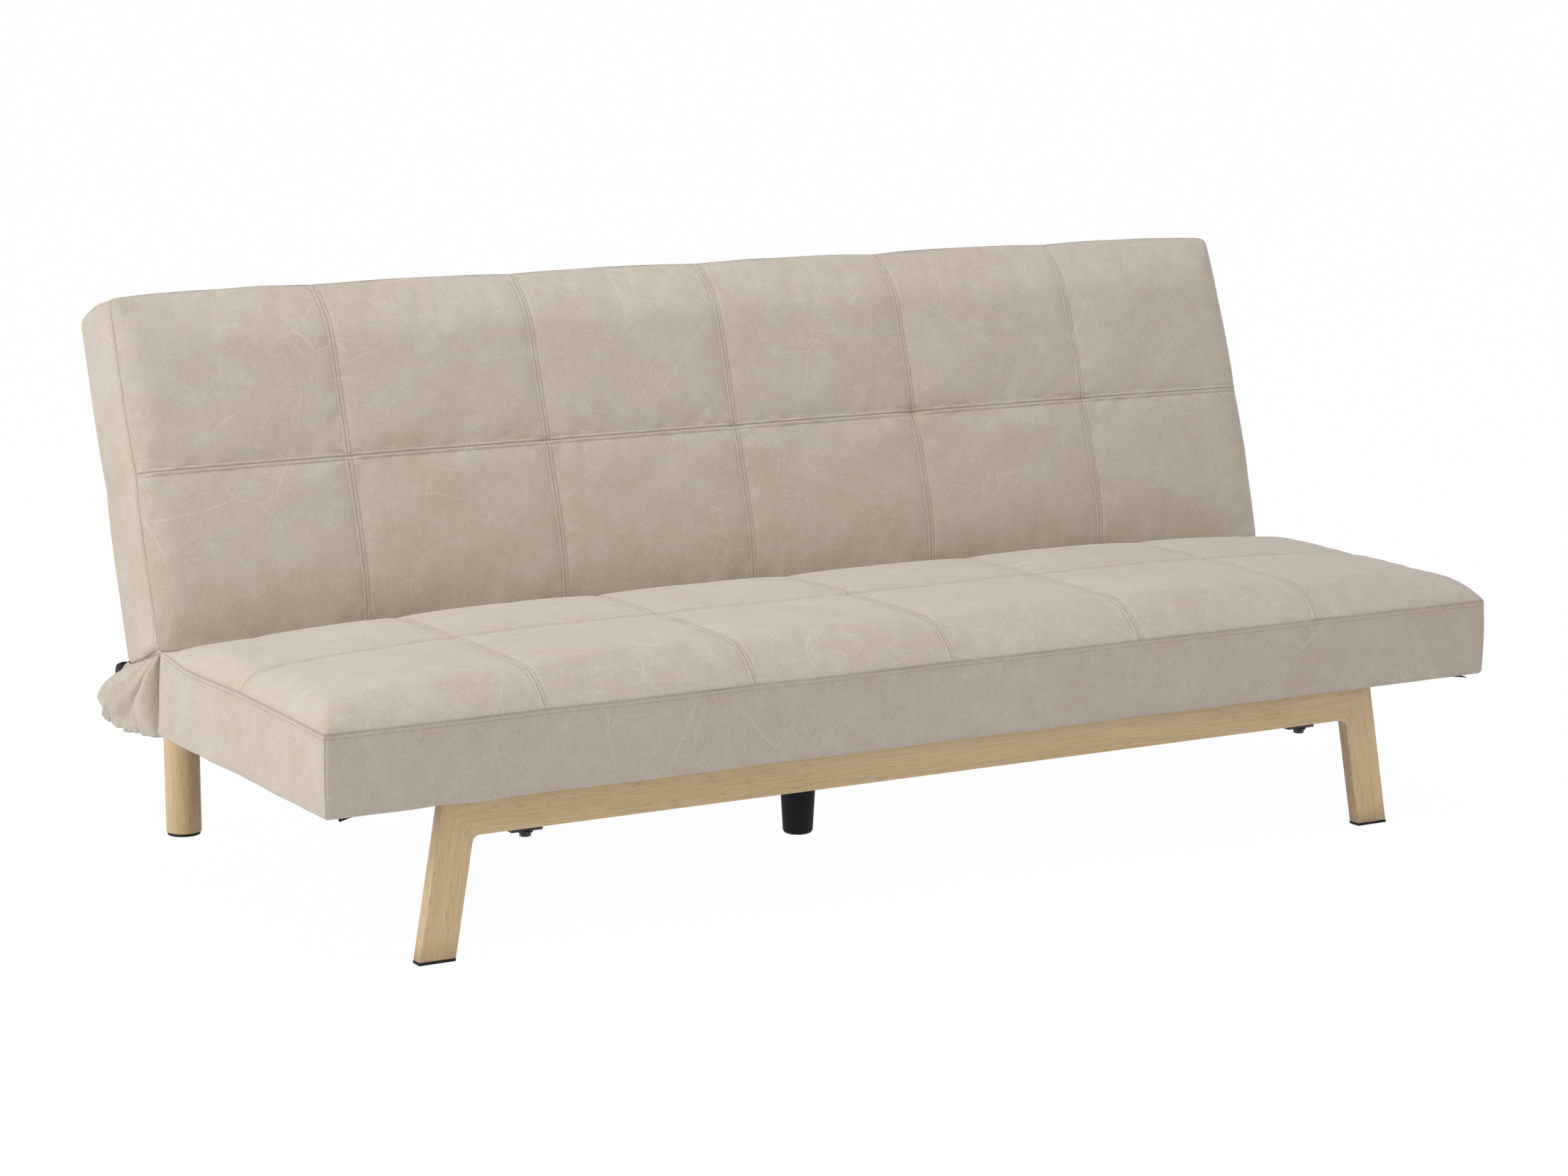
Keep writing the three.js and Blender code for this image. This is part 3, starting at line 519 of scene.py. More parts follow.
def grid_faces(rows, columns, start=0, closed=False):
    """The quads of a grid of points that are stored row by row."""
    wide = columns if closed else columns - 1
    row, column = np.meshgrid(np.arange(rows - 1), np.arange(wide), indexing="ij")
    after = (column + 1) % columns
    quads = np.stack([
        row * columns + column, row * columns + after,
        (row + 1) * columns + after, (row + 1) * columns + column,
    ], axis=-1)
    return start + quads.reshape(-1, 4)


def swell(share, power):
    """Zero at the ends of a run from 0 to 1, one along its middle, flatter for a high power."""
    return 1 - np.abs(2 * share - 1) ** power


def roll(distance, run, power):
    """Zero on an edge, rising to one at a run from it, steeply first for a high power."""
    return 1 - (1 - np.clip(distance / run, 0, 1)) ** power


def smooth(share):
    """From zero to one with level ends: three squares less two cubes."""
    share = np.clip(share, 0, 1)
    return share * share * (3 - 2 * share)


def waves(at, length_of_wave, seed):
    """A smooth irregular wave between about -1 and 1: a sum of sines whose lengths and phases
    are drawn from a seed."""
    random = np.random.default_rng(seed)
    total = np.zeros_like(at)
    for _ in range(5):
        span = length_of_wave * random.uniform(0.6, 1.7)
        total = total + np.sin(2 * np.pi * (at / span + random.random()))
    return total / 2.5


@dataclass
class Pad:
    """One padded half, in metres. Its own Y runs from its front edge, its own Z up from its
    edge seam."""

    body: str
    place: Matrix
    seed: int
    length: float
    thickness: float
    crown: float
    tuft: float
    tuft_shares: tuple
    corner: float
    hem: float
    free_run: float
    half: float
    frame_half: float
    heel_out: float = 0
    side_bow: float = 0
    rear_rise: float = 0
    top_rise: float = 0
    top_roll: float = 0
    top_bulge: float = 0
    end_draw: float = 0
    end_bow: float = 0
    hinge_first: bool = False


ROLL_POWER = 2.3
FREE_POWER = 2.1
CROWN_POWER = 3
HINGE_POWER = 3
HINGE_EASE = 1.4
CHANNEL_POWER = 2.5
TUFT_POWER = 4
TOP_SWELL_POWER = 10
EDGE_DRAW = 3 * MM
EDGE_DRAW_REACH = 40 * MM
TOP_ROLL_REACH = 75 * MM
REAR_RISE_REACH = 110 * MM
FRAME_INSET = 26.7 * MM
RECESS = 33.6 * MM
BESIDE_SEAM = np.array([0.8, 2.2, 3.8, 5.2, 6.6, 9, 13]) * MM
BESIDE_EDGE = np.array([1.2, 3.5, 7.5, 13, 20]) * MM
STITCH_LINE = 3
SEAT_TUFT_SHARES = (0.8, 1.0, 0.8, 1.0, 0.9)
BACK_TUFT_SHARES = (0.4, 0.5, 0.6, 1.9, 1.2)
# Strengths of the painted shade in the creases of the seams between panels, on the edge seam and on the ring just
# below it.
SEAM_SHADE = 0.36
EDGE_SHADE = 0.75
BELOW_EDGE_SHADE = 0.25


def grid_lines(borders, cell):
    """Lines across a row of panels: at each border, at set distances beside it, and about a
    cell apart between those."""
    lines = []
    last = len(borders) - 2
    for index, (start, end) in enumerate(zip(borders[:-1], borders[1:])):
        near = BESIDE_EDGE if index == 0 else BESIDE_SEAM
        far = BESIDE_EDGE if index == last else BESIDE_SEAM
        steps = max(2, round((end - far[-1] - start - near[-1]) / cell))
        inner = np.linspace(start + near[-1], end - far[-1], steps + 1)
        lines += [[start], start + near[:-1], inner, (end - far[:-1])[::-1]]
    return np.concatenate([*lines, [borders[-1]]])


def seam_gap(at, borders):
    """Distance to the nearest seam between panels."""
    return np.min(np.abs(at[..., None] - borders[1:-1]), axis=-1)


def pad_surface(pad, padding, x, y, crosses, alongs):
    """Points of a pad's top. Height is the bow of the edge seam, plus the crown less the
    channels and tufts, times a share that rolls up from each of the four edges."""
    half = crosses[-1]
    from_end = np.clip(half - np.abs(x), 0, None)
    rolled = roll(from_end, padding.roll_run, ROLL_POWER)
    ends = (rolled + roll(from_end, padding.crown_run, CROWN_POWER)) / 2
    from_hinge = y if pad.hinge_first else pad.length - y
    free = roll(pad.length - from_hinge, pad.free_run, FREE_POWER)
    hinged = roll(from_hinge, padding.hinge_run, HINGE_POWER) ** HINGE_EASE
    half_panels = [half / padding.panels_across, pad.length / padding.panels_along / 2]
    u = np.clip(1 - seam_gap(x, crosses) / half_panels[0], 0, 1) ** CHANNEL_POWER
    v = np.clip(1 - seam_gap(y, alongs) / half_panels[1], 0, 1) ** CHANNEL_POWER
    tuft = pad.tuft * np.interp(x, crosses[1:-1], pad.tuft_shares)
    sunk = padding.channel * np.maximum(u, v) + tuft * (u * v) ** TUFT_POWER
    # Where two edges meet, the corner is full: the smaller share counts for the most.
    least = 1e-4
    edges = (np.maximum(ends, least) ** -2 + np.maximum(free, least) ** -2 - 1) ** -0.5
    height = pad.side_bow * swell(y / pad.length, 2) + edges * hinged * (pad.crown - sunk)
    near_rear = smooth((y - pad.length) / REAR_RISE_REACH + 1)
    height += pad.rear_rise * near_rear * (1 - roll(from_end, REAR_RISE_REACH, 2))
    # The edges are drawn in a little where a seam meets them.
    from_front = np.minimum(y, pad.length - y)
    pull_x = EDGE_DRAW * v * np.exp(-from_end / EDGE_DRAW_REACH)
    pull_y = EDGE_DRAW * u * np.exp(-from_front / EDGE_DRAW_REACH)
    points = np.stack([
        x - np.sign(x) * pull_x, y + np.where(y < pad.length / 2, pull_y, -pull_y), height,
    ], axis=-1)
    # Upright corners are rounded, by mapping the square at each one onto a quarter disc.
    centre_x = np.sign(x) * (half - pad.corner)
    centre_y = np.where(y < pad.length / 2, pad.corner, pad.length - pad.corner)
    away = np.stack([
        np.clip((x - centre_x) * np.sign(x), 0, None),
        np.clip((y - centre_y) * np.where(y < pad.length / 2, -1, 1), 0, None),
    ], axis=-1)
    both = np.linalg.norm(away, axis=-1)
    share = np.where(both > 0, away.max(axis=-1) / np.maximum(both, 1e-9), 1)
    points[..., 0] -= np.sign(x) * away[..., 0] * (1 - share)
    points[..., 1] -= np.where(y < pad.length / 2, -1, 1) * away[..., 1] * (1 - share)
    # The top edge of the back swells up and rolls to the rear between its corners.
    near_top = smooth((y - pad.length) / TOP_ROLL_REACH + 1) * swell(x / half / 2 + 0.5,
                                                                     TOP_SWELL_POWER)
    # One end of the back bows out between its corners.
    drawn = pad.end_draw + pad.end_bow * (1 - swell(np.clip(y / pad.length, 0, 1), 2))
    points[..., 0] -= drawn * np.clip(x / half, 0, 1) ** 4
    points[..., 1] += pad.top_rise * near_top
    points[..., 2] -= pad.top_roll * near_top
    return points


def boxing_depths(pad, sewing):
    """Depths below the edge seam of the rings round a pad's side, and how far each stands out."""
    sewn = sewing.edge_allowance
    band = np.array([0.9 * MM, 2.5 * MM, sewn - 1.2 * MM, sewn - 0.4 * MM, sewn + 1.2 * MM])
    depths = np.concatenate([band, np.linspace(sewn + 8 * MM, pad.thickness - pad.hem, 9)])
    on_band = (depths > 2 * MM) & (depths < sewn)
    return depths, swell(depths / pad.thickness, 2), on_band * sewing.felled_rise / 2


def between_rings(rings):
    """The four values at the corners of each cell between closed rings."""
    after = np.roll(rings, -1, axis=1)
    return np.stack([rings[:-1], rings[1:], after[1:], after[:-1]], axis=2)


def build_pad(pad, padding, sewing):
    """The pad's cover as one closed surface: its top, the rings of its sides, its hem, and the
    recess that its frame fills. Returns the object and the lines that are sewn."""
    half = pad.half
    crosses = np.linspace(-half, half, padding.panels_across + 1)
    alongs = np.linspace(0, pad.length, padding.panels_along + 1)
    xs, ys = grid_lines(crosses, padding.cell), grid_lines(alongs, padding.cell)
    x, y = np.meshgrid(xs, ys)
    rows, columns = x.shape
    first_ring = rows * columns
    index = np.arange(first_ring).reshape(rows, columns)
    rim = np.concatenate([index[0], index[1:, -1], index[-1, -2::-1], index[-2:0:-1, 0]])
    around = len(rim)
    top = pad_surface(pad, padding, x, y, crosses, alongs).reshape(-1, 3)
    edge = top[rim]
    run = unit((np.roll(edge, -1, axis=0) - np.roll(edge, 1, axis=0))[:, :2])
    outward = np.stack([run[:, 1], -run[:, 0], np.zeros(around)], axis=1)
    # Below, the sides stand over a plain rectangle whose rear leans out.
    foot_y = np.clip(edge[:, 1], 0, pad.length) * (1 + pad.heel_out / pad.length)
    foot = np.stack([edge[:, 0], foot_y, np.full(around, -pad.thickness)], axis=1)
    depths, swollen, proud = boxing_depths(pad, sewing)
    bulge = padding.boxing_bulge + pad.top_bulge * np.clip(outward[:, 1:2], 0, 1) ** 2

    def ring(share, out):
        return edge * (1 - share) + foot * share + outward * out

    rings = [ring(depth / pad.thickness, bulge * out + felled)
             for depth, out, felled in zip(depths, swollen, proud)]
    last_out = bulge * swollen[-1]
    for angle in np.radians([22.5, 45, 67.5, 90]):
        rise = pad.hem * (1 - math.sin(angle))
        inward = pad.hem * (1 - math.cos(angle)) - last_out * math.cos(angle)
        rings.append(ring(1 - rise / pad.thickness, -inward))
    middle = np.array([0, (pad.length + pad.heel_out) / 2, 0])
    room = np.array([
        pad.frame_half / half, 1 - 2 * FRAME_INSET / (pad.length + pad.heel_out), 1,
    ])
    lip = middle + (rings[-1] - middle) * room
    rings += [(rings[-1] + lip) / 2, lip, lip + [0, 0, RECESS]]
    # The recess ends in a flat grid like the top's, whose border is the last ring.
    ceiling = np.stack([x, y, np.full_like(x, RECESS - pad.thickness)], axis=-1)
    ceiling = middle + (ceiling * [1, 1 + pad.heel_out / pad.length, 1] - middle) * room
    inner = ceiling[1:-1, 1:-1].reshape(-1, 3)
    points = np.concatenate([top, *rings, inner])
    ring_index = first_ring + np.arange(len(rings) * around).reshape(len(rings), around)
    ceiling_index = np.empty(first_ring, int)
    ceiling_index[rim] = ring_index[-1]
    inside_at = np.setdiff1d(np.arange(first_ring), rim)
    ceiling_index[inside_at] = len(points) - len(inner) + np.arange(len(inner))
    quads = grid_faces(rows, columns)
    flipped = quads[:, ::-1]
    reach = distances(edge)
    below_hem = pad.thickness + 8 * MM * np.arange(len(rings) - len(depths))
    drop = np.concatenate([[0], depths, below_hem])
    ring_map = np.stack(np.broadcast_arrays(reach[None, :], -drop[:, None]), axis=-1)
    flat = np.stack([x, y], axis=-1).reshape(-1, 2)
    maps = [flat[quads].reshape(-1, 2), between_rings(ring_map).reshape(-1, 2),
            flat[flipped].reshape(-1, 2)]
    across, along = seam_gap(x, crosses), seam_gap(y, alongs)
    inside = np.minimum(half - np.abs(x), np.minimum(y, pad.length - y))
    gap = np.minimum(across, along)
    # Painted shade, stored in the seam_shade attribute: darker in the creases of the seams between panels, on the
    # edge seam and just below it, and down the upright corners. Part of this is the joints' own dark, and part is
    # their shadow painted in.
    shade = np.zeros(len(points))
    shade[:first_ring] = SEAM_SHADE * np.exp(
        -(np.minimum(gap, inside) / sewing.crease_depth) ** 2).reshape(-1)
    shade[rim] = EDGE_SHADE
    shade[ring_index[0]] = BELOW_EDGE_SHADE
    corners = np.array([0, columns - 1, columns + rows - 2, 2 * columns + rows - 3])
    shade[ring_index[:len(depths) + 3, corners]] = 1.0
    sides = between_rings(np.vstack([rim, ring_index])).reshape(-1, 4)
    cover = new_mesh(pad.body + "_cover", points,
                     np.concatenate([quads, sides, ceiling_index[flipped]]),
                     material_of(canvas_finish), maps, shade)
    pinned = np.ones(len(points))
    held = sewing.felled_width / 2 + 1.5 * MM
    pinned[:first_ring] = ((gap < held) | (inside < held)).reshape(-1)
    fill_pad(cover, padding, pinned)
    sew_relief(cover, pad, sewing, x, y, across, along, inside)
    cover.data.transform(pad.place)
    finer = cover.modifiers.new("finer", "SUBSURF")
    finer.levels = finer.render_levels = 1
    finish_piece(cover, pad.body, "sofa_cloth", pad.body + "_cushion")
    # Stitches run beside each seam, along the edge seam and along its seam allowance.
    beside = BESIDE_SEAM[STITCH_LINE]
    sewn = []
    for border in crosses[1:-1]:
        sewn += [index[3:-3, np.argmin(np.abs(xs - border - way * beside))] for way in (-1, 1)]
    for border in alongs[1:-1]:
        sewn += [index[np.argmin(np.abs(ys - border - way * beside)), 3:-3] for way in (-1, 1)]
    sewn += [np.append(ring_index[at], ring_index[at, 0]) for at in (0, 3)]
    sewn += [ring_index[:len(depths), corner] for corner in corners]
    return cover, sewn


def fill_pad(cover, padding, pinned):
    """Lets the cover swell under the pressure of its filling, held along its seams."""
    group = cover.vertex_groups.new(name="held")
    group.add(np.flatnonzero(pinned > 0).tolist(), 1, "REPLACE")
    cloth = cover.modifiers.new("filling", "CLOTH")
    settings = cloth.settings
    settings.quality = 5
    settings.mass = 0.25
    settings.tension_stiffness = settings.compression_stiffness = 12
    settings.shear_stiffness = 4
    settings.bending_stiffness = 0.4
    settings.vertex_group_mass = group.name
    settings.use_pressure = True
    settings.uniform_pressure_force = padding.pressure
    settings.shrink_min = -0.012
    settings.effector_weights.gravity = 0
    before = rows_of(cover.data.vertices, "co")
    scene = bpy.context.scene
    for step in range(1, 21):
        scene.frame_set(step)
    filled = cover.evaluated_get(bpy.context.evaluated_depsgraph_get())
    moved = rows_of(filled.data.vertices, "co") - before
    far = np.linalg.norm(moved, axis=1, keepdims=True)
    limit = padding.swell_limit
    moved *= limit * np.tanh(far / limit) / np.maximum(far, 1e-9)
    cover.modifiers.remove(cloth)
    cover.vertex_groups.clear()
    cover.data.vertices.foreach_set("co", (before + moved).ravel())
    cover.data.update()
    scene.frame_set(1)


def sew_relief(cover, pad, sewing, x, y, across, along, inside):
    """Moves the cover along its normals: felled seams stand proud as two folds with a crease
    between them and a line of stitches beside them, and the cloth round them puckers."""
    mesh = cover.data
    points, normals = rows_of(mesh.vertices, "co"), rows_of(mesh.vertex_normals, "vector")
    half_felled = sewing.felled_width / 2

    def felled(gap):
        proud = sewing.felled_rise * (1 - smooth((gap - half_felled) / (1.4 * MM) + 0.5))
        ridge = sewing.ridge_rise * np.exp(-((gap - 2.2 * MM) / (1.3 * MM)) ** 2)
        stitched = 0.4 * MM * np.exp(-((gap - 5.2 * MM) / (0.8 * MM)) ** 2)
        return proud + ridge - stitched - sewing.crease_depth * np.exp(-(gap / (0.7 * MM)) ** 2)

    def pucker(gap, at, seed):
        decay = np.exp(-np.clip(gap - half_felled, 0, None) / (16 * MM))
        decay = decay * (gap > half_felled * 0.6)
        return decay * waves(at, 34 * MM, pad.seed + seed) * 0.75 * MM

    lift = np.where(across < along, felled(across), felled(along))
    lift = lift + pucker(across, y, 0) + pucker(along, x, 1)
    lift = lift + pucker(inside, x + y, 2) * 0.7
    lift = lift - 0.4 * MM * np.exp(-(inside / (0.8 * MM)) ** 2)
    lift = lift + 1.1 * MM * waves(x, 190 * MM, pad.seed + 3) * waves(y, 160 * MM, pad.seed + 4)
    top = lift.size
    points[:top] += normals[:top] * lift.reshape(-1, 1)
    # The sides hang in long shallow waves.
    side = points[top:]
    hang = 0.7 * MM * waves(side[:, 0] + side[:, 1], 150 * MM, pad.seed + 5)
    hang = hang * waves(side[:, 2] + side[:, 0] * 0.2, 120 * MM, pad.seed + 6)
    if pad.hinge_first:
        hang = hang + tuck(side)
    points[top:] += normals[top:] * hang[:, None]
    mesh.vertices.foreach_set("co", points.ravel())
    mesh.update()


def tuck(side):
    """A fold across the end of the back, just above its lower edge: a bell-shaped ridge with a
    bell-shaped valley under it, fading in behind the seam and out towards the rear."""
    depth = -side[:, 2]
    above = side[:, 1] - 19 * MM + 0.16 * depth
    fold = 4.5 * MM * np.exp(-(above / (8 * MM)) ** 2)
    fold = fold - 5 * MM * np.exp(-((above + 13 * MM) / (6 * MM)) ** 2)
    at_end = np.abs(side[:, 0]) > np.abs(side[:, 0]).max() - 6 * MM
    return fold * at_end * smooth(depth / (10 * MM)) * (1 - smooth((depth - 50 * MM) / (35 * MM)))


def finish_piece(piece, body, slot, *nodes):
    """Rides a piece on its body, in the place of the nodes that it stands for."""
    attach(piece, body)
    if nodes:
        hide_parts(*nodes)


STITCH_SHAPE = np.array([
    [-0.5, 0, 0.1],
    [-0.3, 0.5, 0.1], [-0.3, 0, 0.55], [-0.3, -0.5, 0.1], [-0.3, 0, -0.3],
    [0.3, 0.5, 0.1], [0.3, 0, 0.55], [0.3, -0.5, 0.1], [0.3, 0, -0.3],
    [0.5, 0, 0.1],
])


def stitch_faces():
    """A spindle: four triangles to its first tip, four quads, four triangles to its last."""
    turns = [(1, 2), (2, 3), (3, 4), (4, 1)]
    tips = [(0, b, a) for a, b in turns] + [(9, a + 4, b + 4) for a, b in turns]
    return np.array(tips), np.array([(a, b, b + 4, a + 4) for a, b in turns])


def make_stitches(name, cover, lines, sewing, body):
    """Stitches along lines of a cover's points, each laid on the finished surface."""
    shown = cover.evaluated_get(bpy.context.evaluated_depsgraph_get())
    mesh = shown.to_mesh()
    points, normals = rows_of(mesh.vertices, "co"), rows_of(mesh.vertex_normals, "vector")
    shown.to_mesh_clear()
    centres, runs, ups = [], [], []
    step = sewing.stitch_length / 2
    for line in lines:
        reach = distances(points[line])
        at = np.arange(sewing.stitch_pitch / 2, reach[-1], sewing.stitch_pitch)

        def along(values, where=at, line=line, reach=reach):
            return np.stack([np.interp(where, reach, column) for column in values[line].T], 1)

        centres.append(along(points))
        runs.append(along(points, at + step) - along(points, at - step))
        ups.append(along(normals))
    centre, run, up = (np.concatenate(parts) for parts in (centres, runs, ups))
    run = unit(run)
    up = unit(up - run * np.sum(run * up, axis=1, keepdims=True))
    size = np.array([sewing.stitch_length, sewing.thread_width, sewing.thread_width])
    shape = STITCH_SHAPE * size
    made = centre[:, None]
    for axis, way in enumerate((run, np.cross(up, run), up)):
        made = made + way[:, None] * shape[None, :, axis:axis + 1]
    starts = np.arange(len(centre))[:, None, None] * len(shape)
    faces = [face for kind in stitch_faces() for face in np.concatenate(starts + kind)]
    piece = new_mesh(name, made.reshape(-1, 3), faces, material_of(thread_finish))
    finish_piece(piece, body, "sofa_cloth")


def seat_half(padding):
    """From the middle of the seat to its edge seam at one end."""
    return (SEAT_HIGH[0] - SEAT_LOW[0]) / 2 - padding.boxing_bulge


def back_place(padding):
    """The back's own frame: its lower front edge, and the lean that its joint starts from."""
    fold = next(joint for joint in frame["joints"] if joint["name"] == "back_recline")
    heel = SEAT_HIGH[1] - padding.boxing_bulge
    edge = (0, heel - padding.back_foot_in, padding.seam_height + padding.back_foot_rise)
    return Matrix.Translation(edge) @ Matrix.Rotation(math.radians(-fold["range_deg"][0]), 4, "X")


def build_cover(scene, pad):
    """A pad's cover and its stitches."""
    cover, lines = build_pad(pad, scene.sofa_padding, scene.sofa_sewing)
    make_stitches(pad.body + "_stitches", cover, lines, scene.sofa_sewing, pad.body)
    return {"FINISHED"}


class SOFA_OT_seat_cover(Operator):
    """Sews the seat's cover and lays its stitches"""

    bl_idname = "sofa.seat_cover"
    bl_label = "Seat Cover"

    def execute(self, context):
        padding = context.scene.sofa_padding
        bulge = padding.boxing_bulge
        return build_cover(context.scene, Pad(
            body="seat", seed=11,
            place=Matrix.Translation((0, SEAT_LOW[1] + bulge, padding.seam_height)),
            length=SEAT_HIGH[1] - SEAT_LOW[1] - 2 * bulge - padding.heel_out,
            thickness=padding.seam_height - SEAT_LOW[2], crown=padding.seat_crown,
            tuft=padding.seat_tuft, tuft_shares=SEAT_TUFT_SHARES, corner=padding.seat_corner,
            hem=padding.seat_hem, free_run=padding.seat_front_run, half=seat_half(padding),
            frame_half=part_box("seat_frame_right")[1].x, heel_out=padding.heel_out,
            side_bow=padding.side_bow, rear_rise=padding.rear_rise,
        ))


class SOFA_OT_back_cover(Operator):
    """Sews the back's cover and lays its stitches"""

    bl_idname = "sofa.back_cover"
    bl_label = "Back Cover"

    def execute(self, context):
        padding = context.scene.sofa_padding
        return build_cover(context.scene, Pad(
            body="back", seed=23, place=back_place(padding), length=padding.back_length,
            thickness=padding.back_thickness, crown=padding.back_crown, tuft=padding.back_tuft,
            tuft_shares=BACK_TUFT_SHARES, corner=padding.back_corner, hem=padding.back_hem,
            free_run=padding.back_top_run, half=seat_half(padding) + padding.back_overhang,
            frame_half=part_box("back_frame_right")[1].x, top_rise=padding.top_rise,
            top_roll=padding.top_roll, top_bulge=padding.top_bulge, end_draw=padding.right_draw,
            end_bow=padding.right_bow, hinge_first=True,
        ))


# Gathered cloth over the hinges, seen from the end of the sofa. Each point of the hem is a share
# of the reach behind the seat's heel, and of the height above the lowest point.
GATHER_REACH = 213 * MM
GATHER_HEIGHT = 126 * MM
GATHER_HANG = 19 * MM
GATHER_WIDTH = 46 * MM
GATHER_WRAP = 14 * MM
GATHER_CLEAR = 6.5 * MM
FELT_INSET = 16 * MM
REAR_CLOTH_INSET = 12 * MM
GATHER_HEM_SHARES = np.array([
    [0.03, 0.12], [0.2, 0.103], [0.36, 0.085], [0.52, 0.04], [0.7, 0.0], [0.87, -0.01],
    [0.97, 0.05], [0.99, 0.18], [0.965, 0.32], [0.9, 0.45], [0.78, 0.55], [0.64, 0.68],
    [0.52, 0.8],
])
# Folds of each bag: where on the hem, how far it swings towards the back, width, and height in
# metres. A valley's height is below zero.
GATHER_FOLDS = (
    (0.08, 0.0, 0.06, 6 * MM),
    (0.4, -0.3, 0.09, -17 * MM),
    (0.2, -0.06, 0.07, 5 * MM),
    (0.62, -0.2, 0.12, 7 * MM),
    (0.74, 0.06, 0.1, 5 * MM),
)


def smooth_path(points, count):
    """Points evenly along a smooth curve through the given ones: each stretch is a cubic whose
    slopes come from its neighbours."""
    padded = np.vstack([2 * points[0] - points[1], points, 2 * points[-1] - points[-2]])
    at = np.linspace(0, len(points) - 1 - 1e-9, count)
    k = at.astype(int)
    t = (at - k)[:, None]
    a, b, c, d = (padded[k + step] for step in range(4))
    return b + t * (c - a) / 2 + t**2 * (a - 2.5 * b + 2 * c - d / 2) + t**3 * (
        1.5 * (b - c) + (d - a) / 2)


def build_gather(word, padding, back_edge):
    """One bag: cloth that runs from the back's lower edge out to a hem, which turns in and is
    ruched by its elastic. It bulges as a half wave between the two, and each fold is a bell
    curve across the hem that grows outwards. Its front wraps behind the seat."""
    side = SIDES[word]
    heel = SEAT_HIGH[1] - padding.boxing_bulge
    floor = SEAT_LOW[2] - GATHER_HANG
    hem = smooth_path(GATHER_HEM_SHARES * [GATHER_REACH, GATHER_HEIGHT], 241) + [heel, floor]
    turn = np.linspace(0, 1, len(hem))
    rows = np.linspace(0, 1, 48)[:, None]
    depth = (back_place(padding).to_3x3() @ Vector((0, 0, -padding.back_thickness))).yz
    share = (0.07 + 0.9 * turn**1.6)[:, None]
    start = np.array([back_edge.y, back_edge.z]) + share * np.array(depth)
    ruche = np.abs(np.sin(np.pi * (17 * turn + 0.7 * waves(turn, 0.17, 9)))) ** 0.8
    ruche = 0.6 + (ruche - 0.6) * (0.65 + 0.5 * waves(turn, 0.11, 4))
    ruched = smooth(turn / 0.1) * (1 - smooth((turn - 0.68) / 0.1))
    ruche = ruche - 0.6
    spread = rows**0.95 + 0.045 * ruche * ruched * rows**7
    face_y = start[:, 0] + spread * (hem[:, 0] - start[:, 0])
    face_z = start[:, 1] + spread * (hem[:, 1] - start[:, 1])
    # The front edge keeps clear of the seat's leaning rear side.
    down = np.clip((padding.seam_height - face_z) / (padding.seam_height - SEAT_LOW[2]), 0, 1)
    clear = heel - padding.heel_out * (1 - down) + GATHER_CLEAR
    clear = clear + padding.boxing_bulge * swell(down, 2)
    face_y = np.maximum(face_y, clear)
    folds = 0
    for place, swing, width, height in GATHER_FOLDS:
        across = (turn - place - swing * (1 - rows)) / (width * (0.45 + 0.55 * rows))
        folds = folds + height * np.exp(-across**2) * np.sin(np.pi * rows**0.7 * 0.82)
    folds = folds + 0.9 * MM * waves(turn, 0.12, 5) * rows
    folds = folds + 8 * MM * ruche * ruched * rows**7
    bulge = 17 * MM * np.sin(np.pi * rows**0.8) ** 0.7 * smooth(turn / 0.08 + 0.25)
    bulge = bulge * (1 - 0.85 * smooth((turn - 0.66) / 0.16))
    wrap = GATHER_WRAP * (1 - smooth(turn / 0.035)) * smooth(rows / 0.1)
    out = seat_half(padding) - 6 * MM + bulge + folds - wrap
    # The hem's band turns in towards the middle of the sofa, drawn tight by the elastic.
    inner = np.linspace(0, 1, 16)[1:, None]
    pulled = 1 + 0.012 * ruched * (1 - inner) - 0.15 * smooth(inner)
    pulled = pulled + 0.03 * ruche * np.cos(np.pi * inner / 2) * ruched
    heart = np.array([heel + 0.42 * GATHER_REACH, floor + 0.45 * GATHER_HEIGHT])
    band_y = np.maximum(heart[0] + pulled * (hem[:, 0] - heart[0]), clear[-1])
    band_z = heart[1] + pulled * (hem[:, 1] - heart[1])
    # It stays narrow where the hinge's horn comes out.
    wide = GATHER_WIDTH * (1 - 0.85 * smooth((turn - 0.74) / 0.12))
    band_out = out[-1] - wide * inner**1.15
    grid = np.stack([
        side * np.vstack([out, band_out]), np.vstack([face_y, band_y]), np.vstack([face_z, band_z]),
    ], axis=-1)
    flat = np.stack(np.broadcast_arrays(
        distances(hem)[None, :], np.linspace(0, 0.2, len(grid))[:, None]), axis=-1)
    bag = cloth_piece("gathered_cloth_" + word, grid, flat, material_of(canvas_finish),
                      turned_over=side < 0)
    add_wall(bag, 1.4 * MM, -1)
    return bag


def cloth_piece(name, grid, flat, material, turned_over=False):
    """A sheet over a grid of points, mapped by where each point lies on the flat cloth."""
    faces = grid_faces(*grid.shape[:2])
    if turned_over:
        faces = faces[:, ::-1]
    return new_mesh(name, grid.reshape(-1, 3), faces, material,
                    [flat.reshape(-1, 2)[faces].reshape(-1, 2)])


class SOFA_OT_gathers(Operator):
    """Makes the gathered cloth over each hinge"""

    bl_idname = "sofa.gathers"
    bl_label = "Gathered Cloth"

    def execute(self, context):
        padding = context.scene.sofa_padding
        place = back_place(padding)
        for word in SIDES:
            bag = build_gather(word, padding, place.translation)
            shown = bag.evaluated_get(context.evaluated_depsgraph_get())
            area = sum(face.area for face in shown.to_mesh().polygons) / 2
            shown.to_mesh_clear()
            finish_piece(bag, "back", "sofa_cloth", "back_cover_gather_" + word)
            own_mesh(bag)
        return {"FINISHED"}


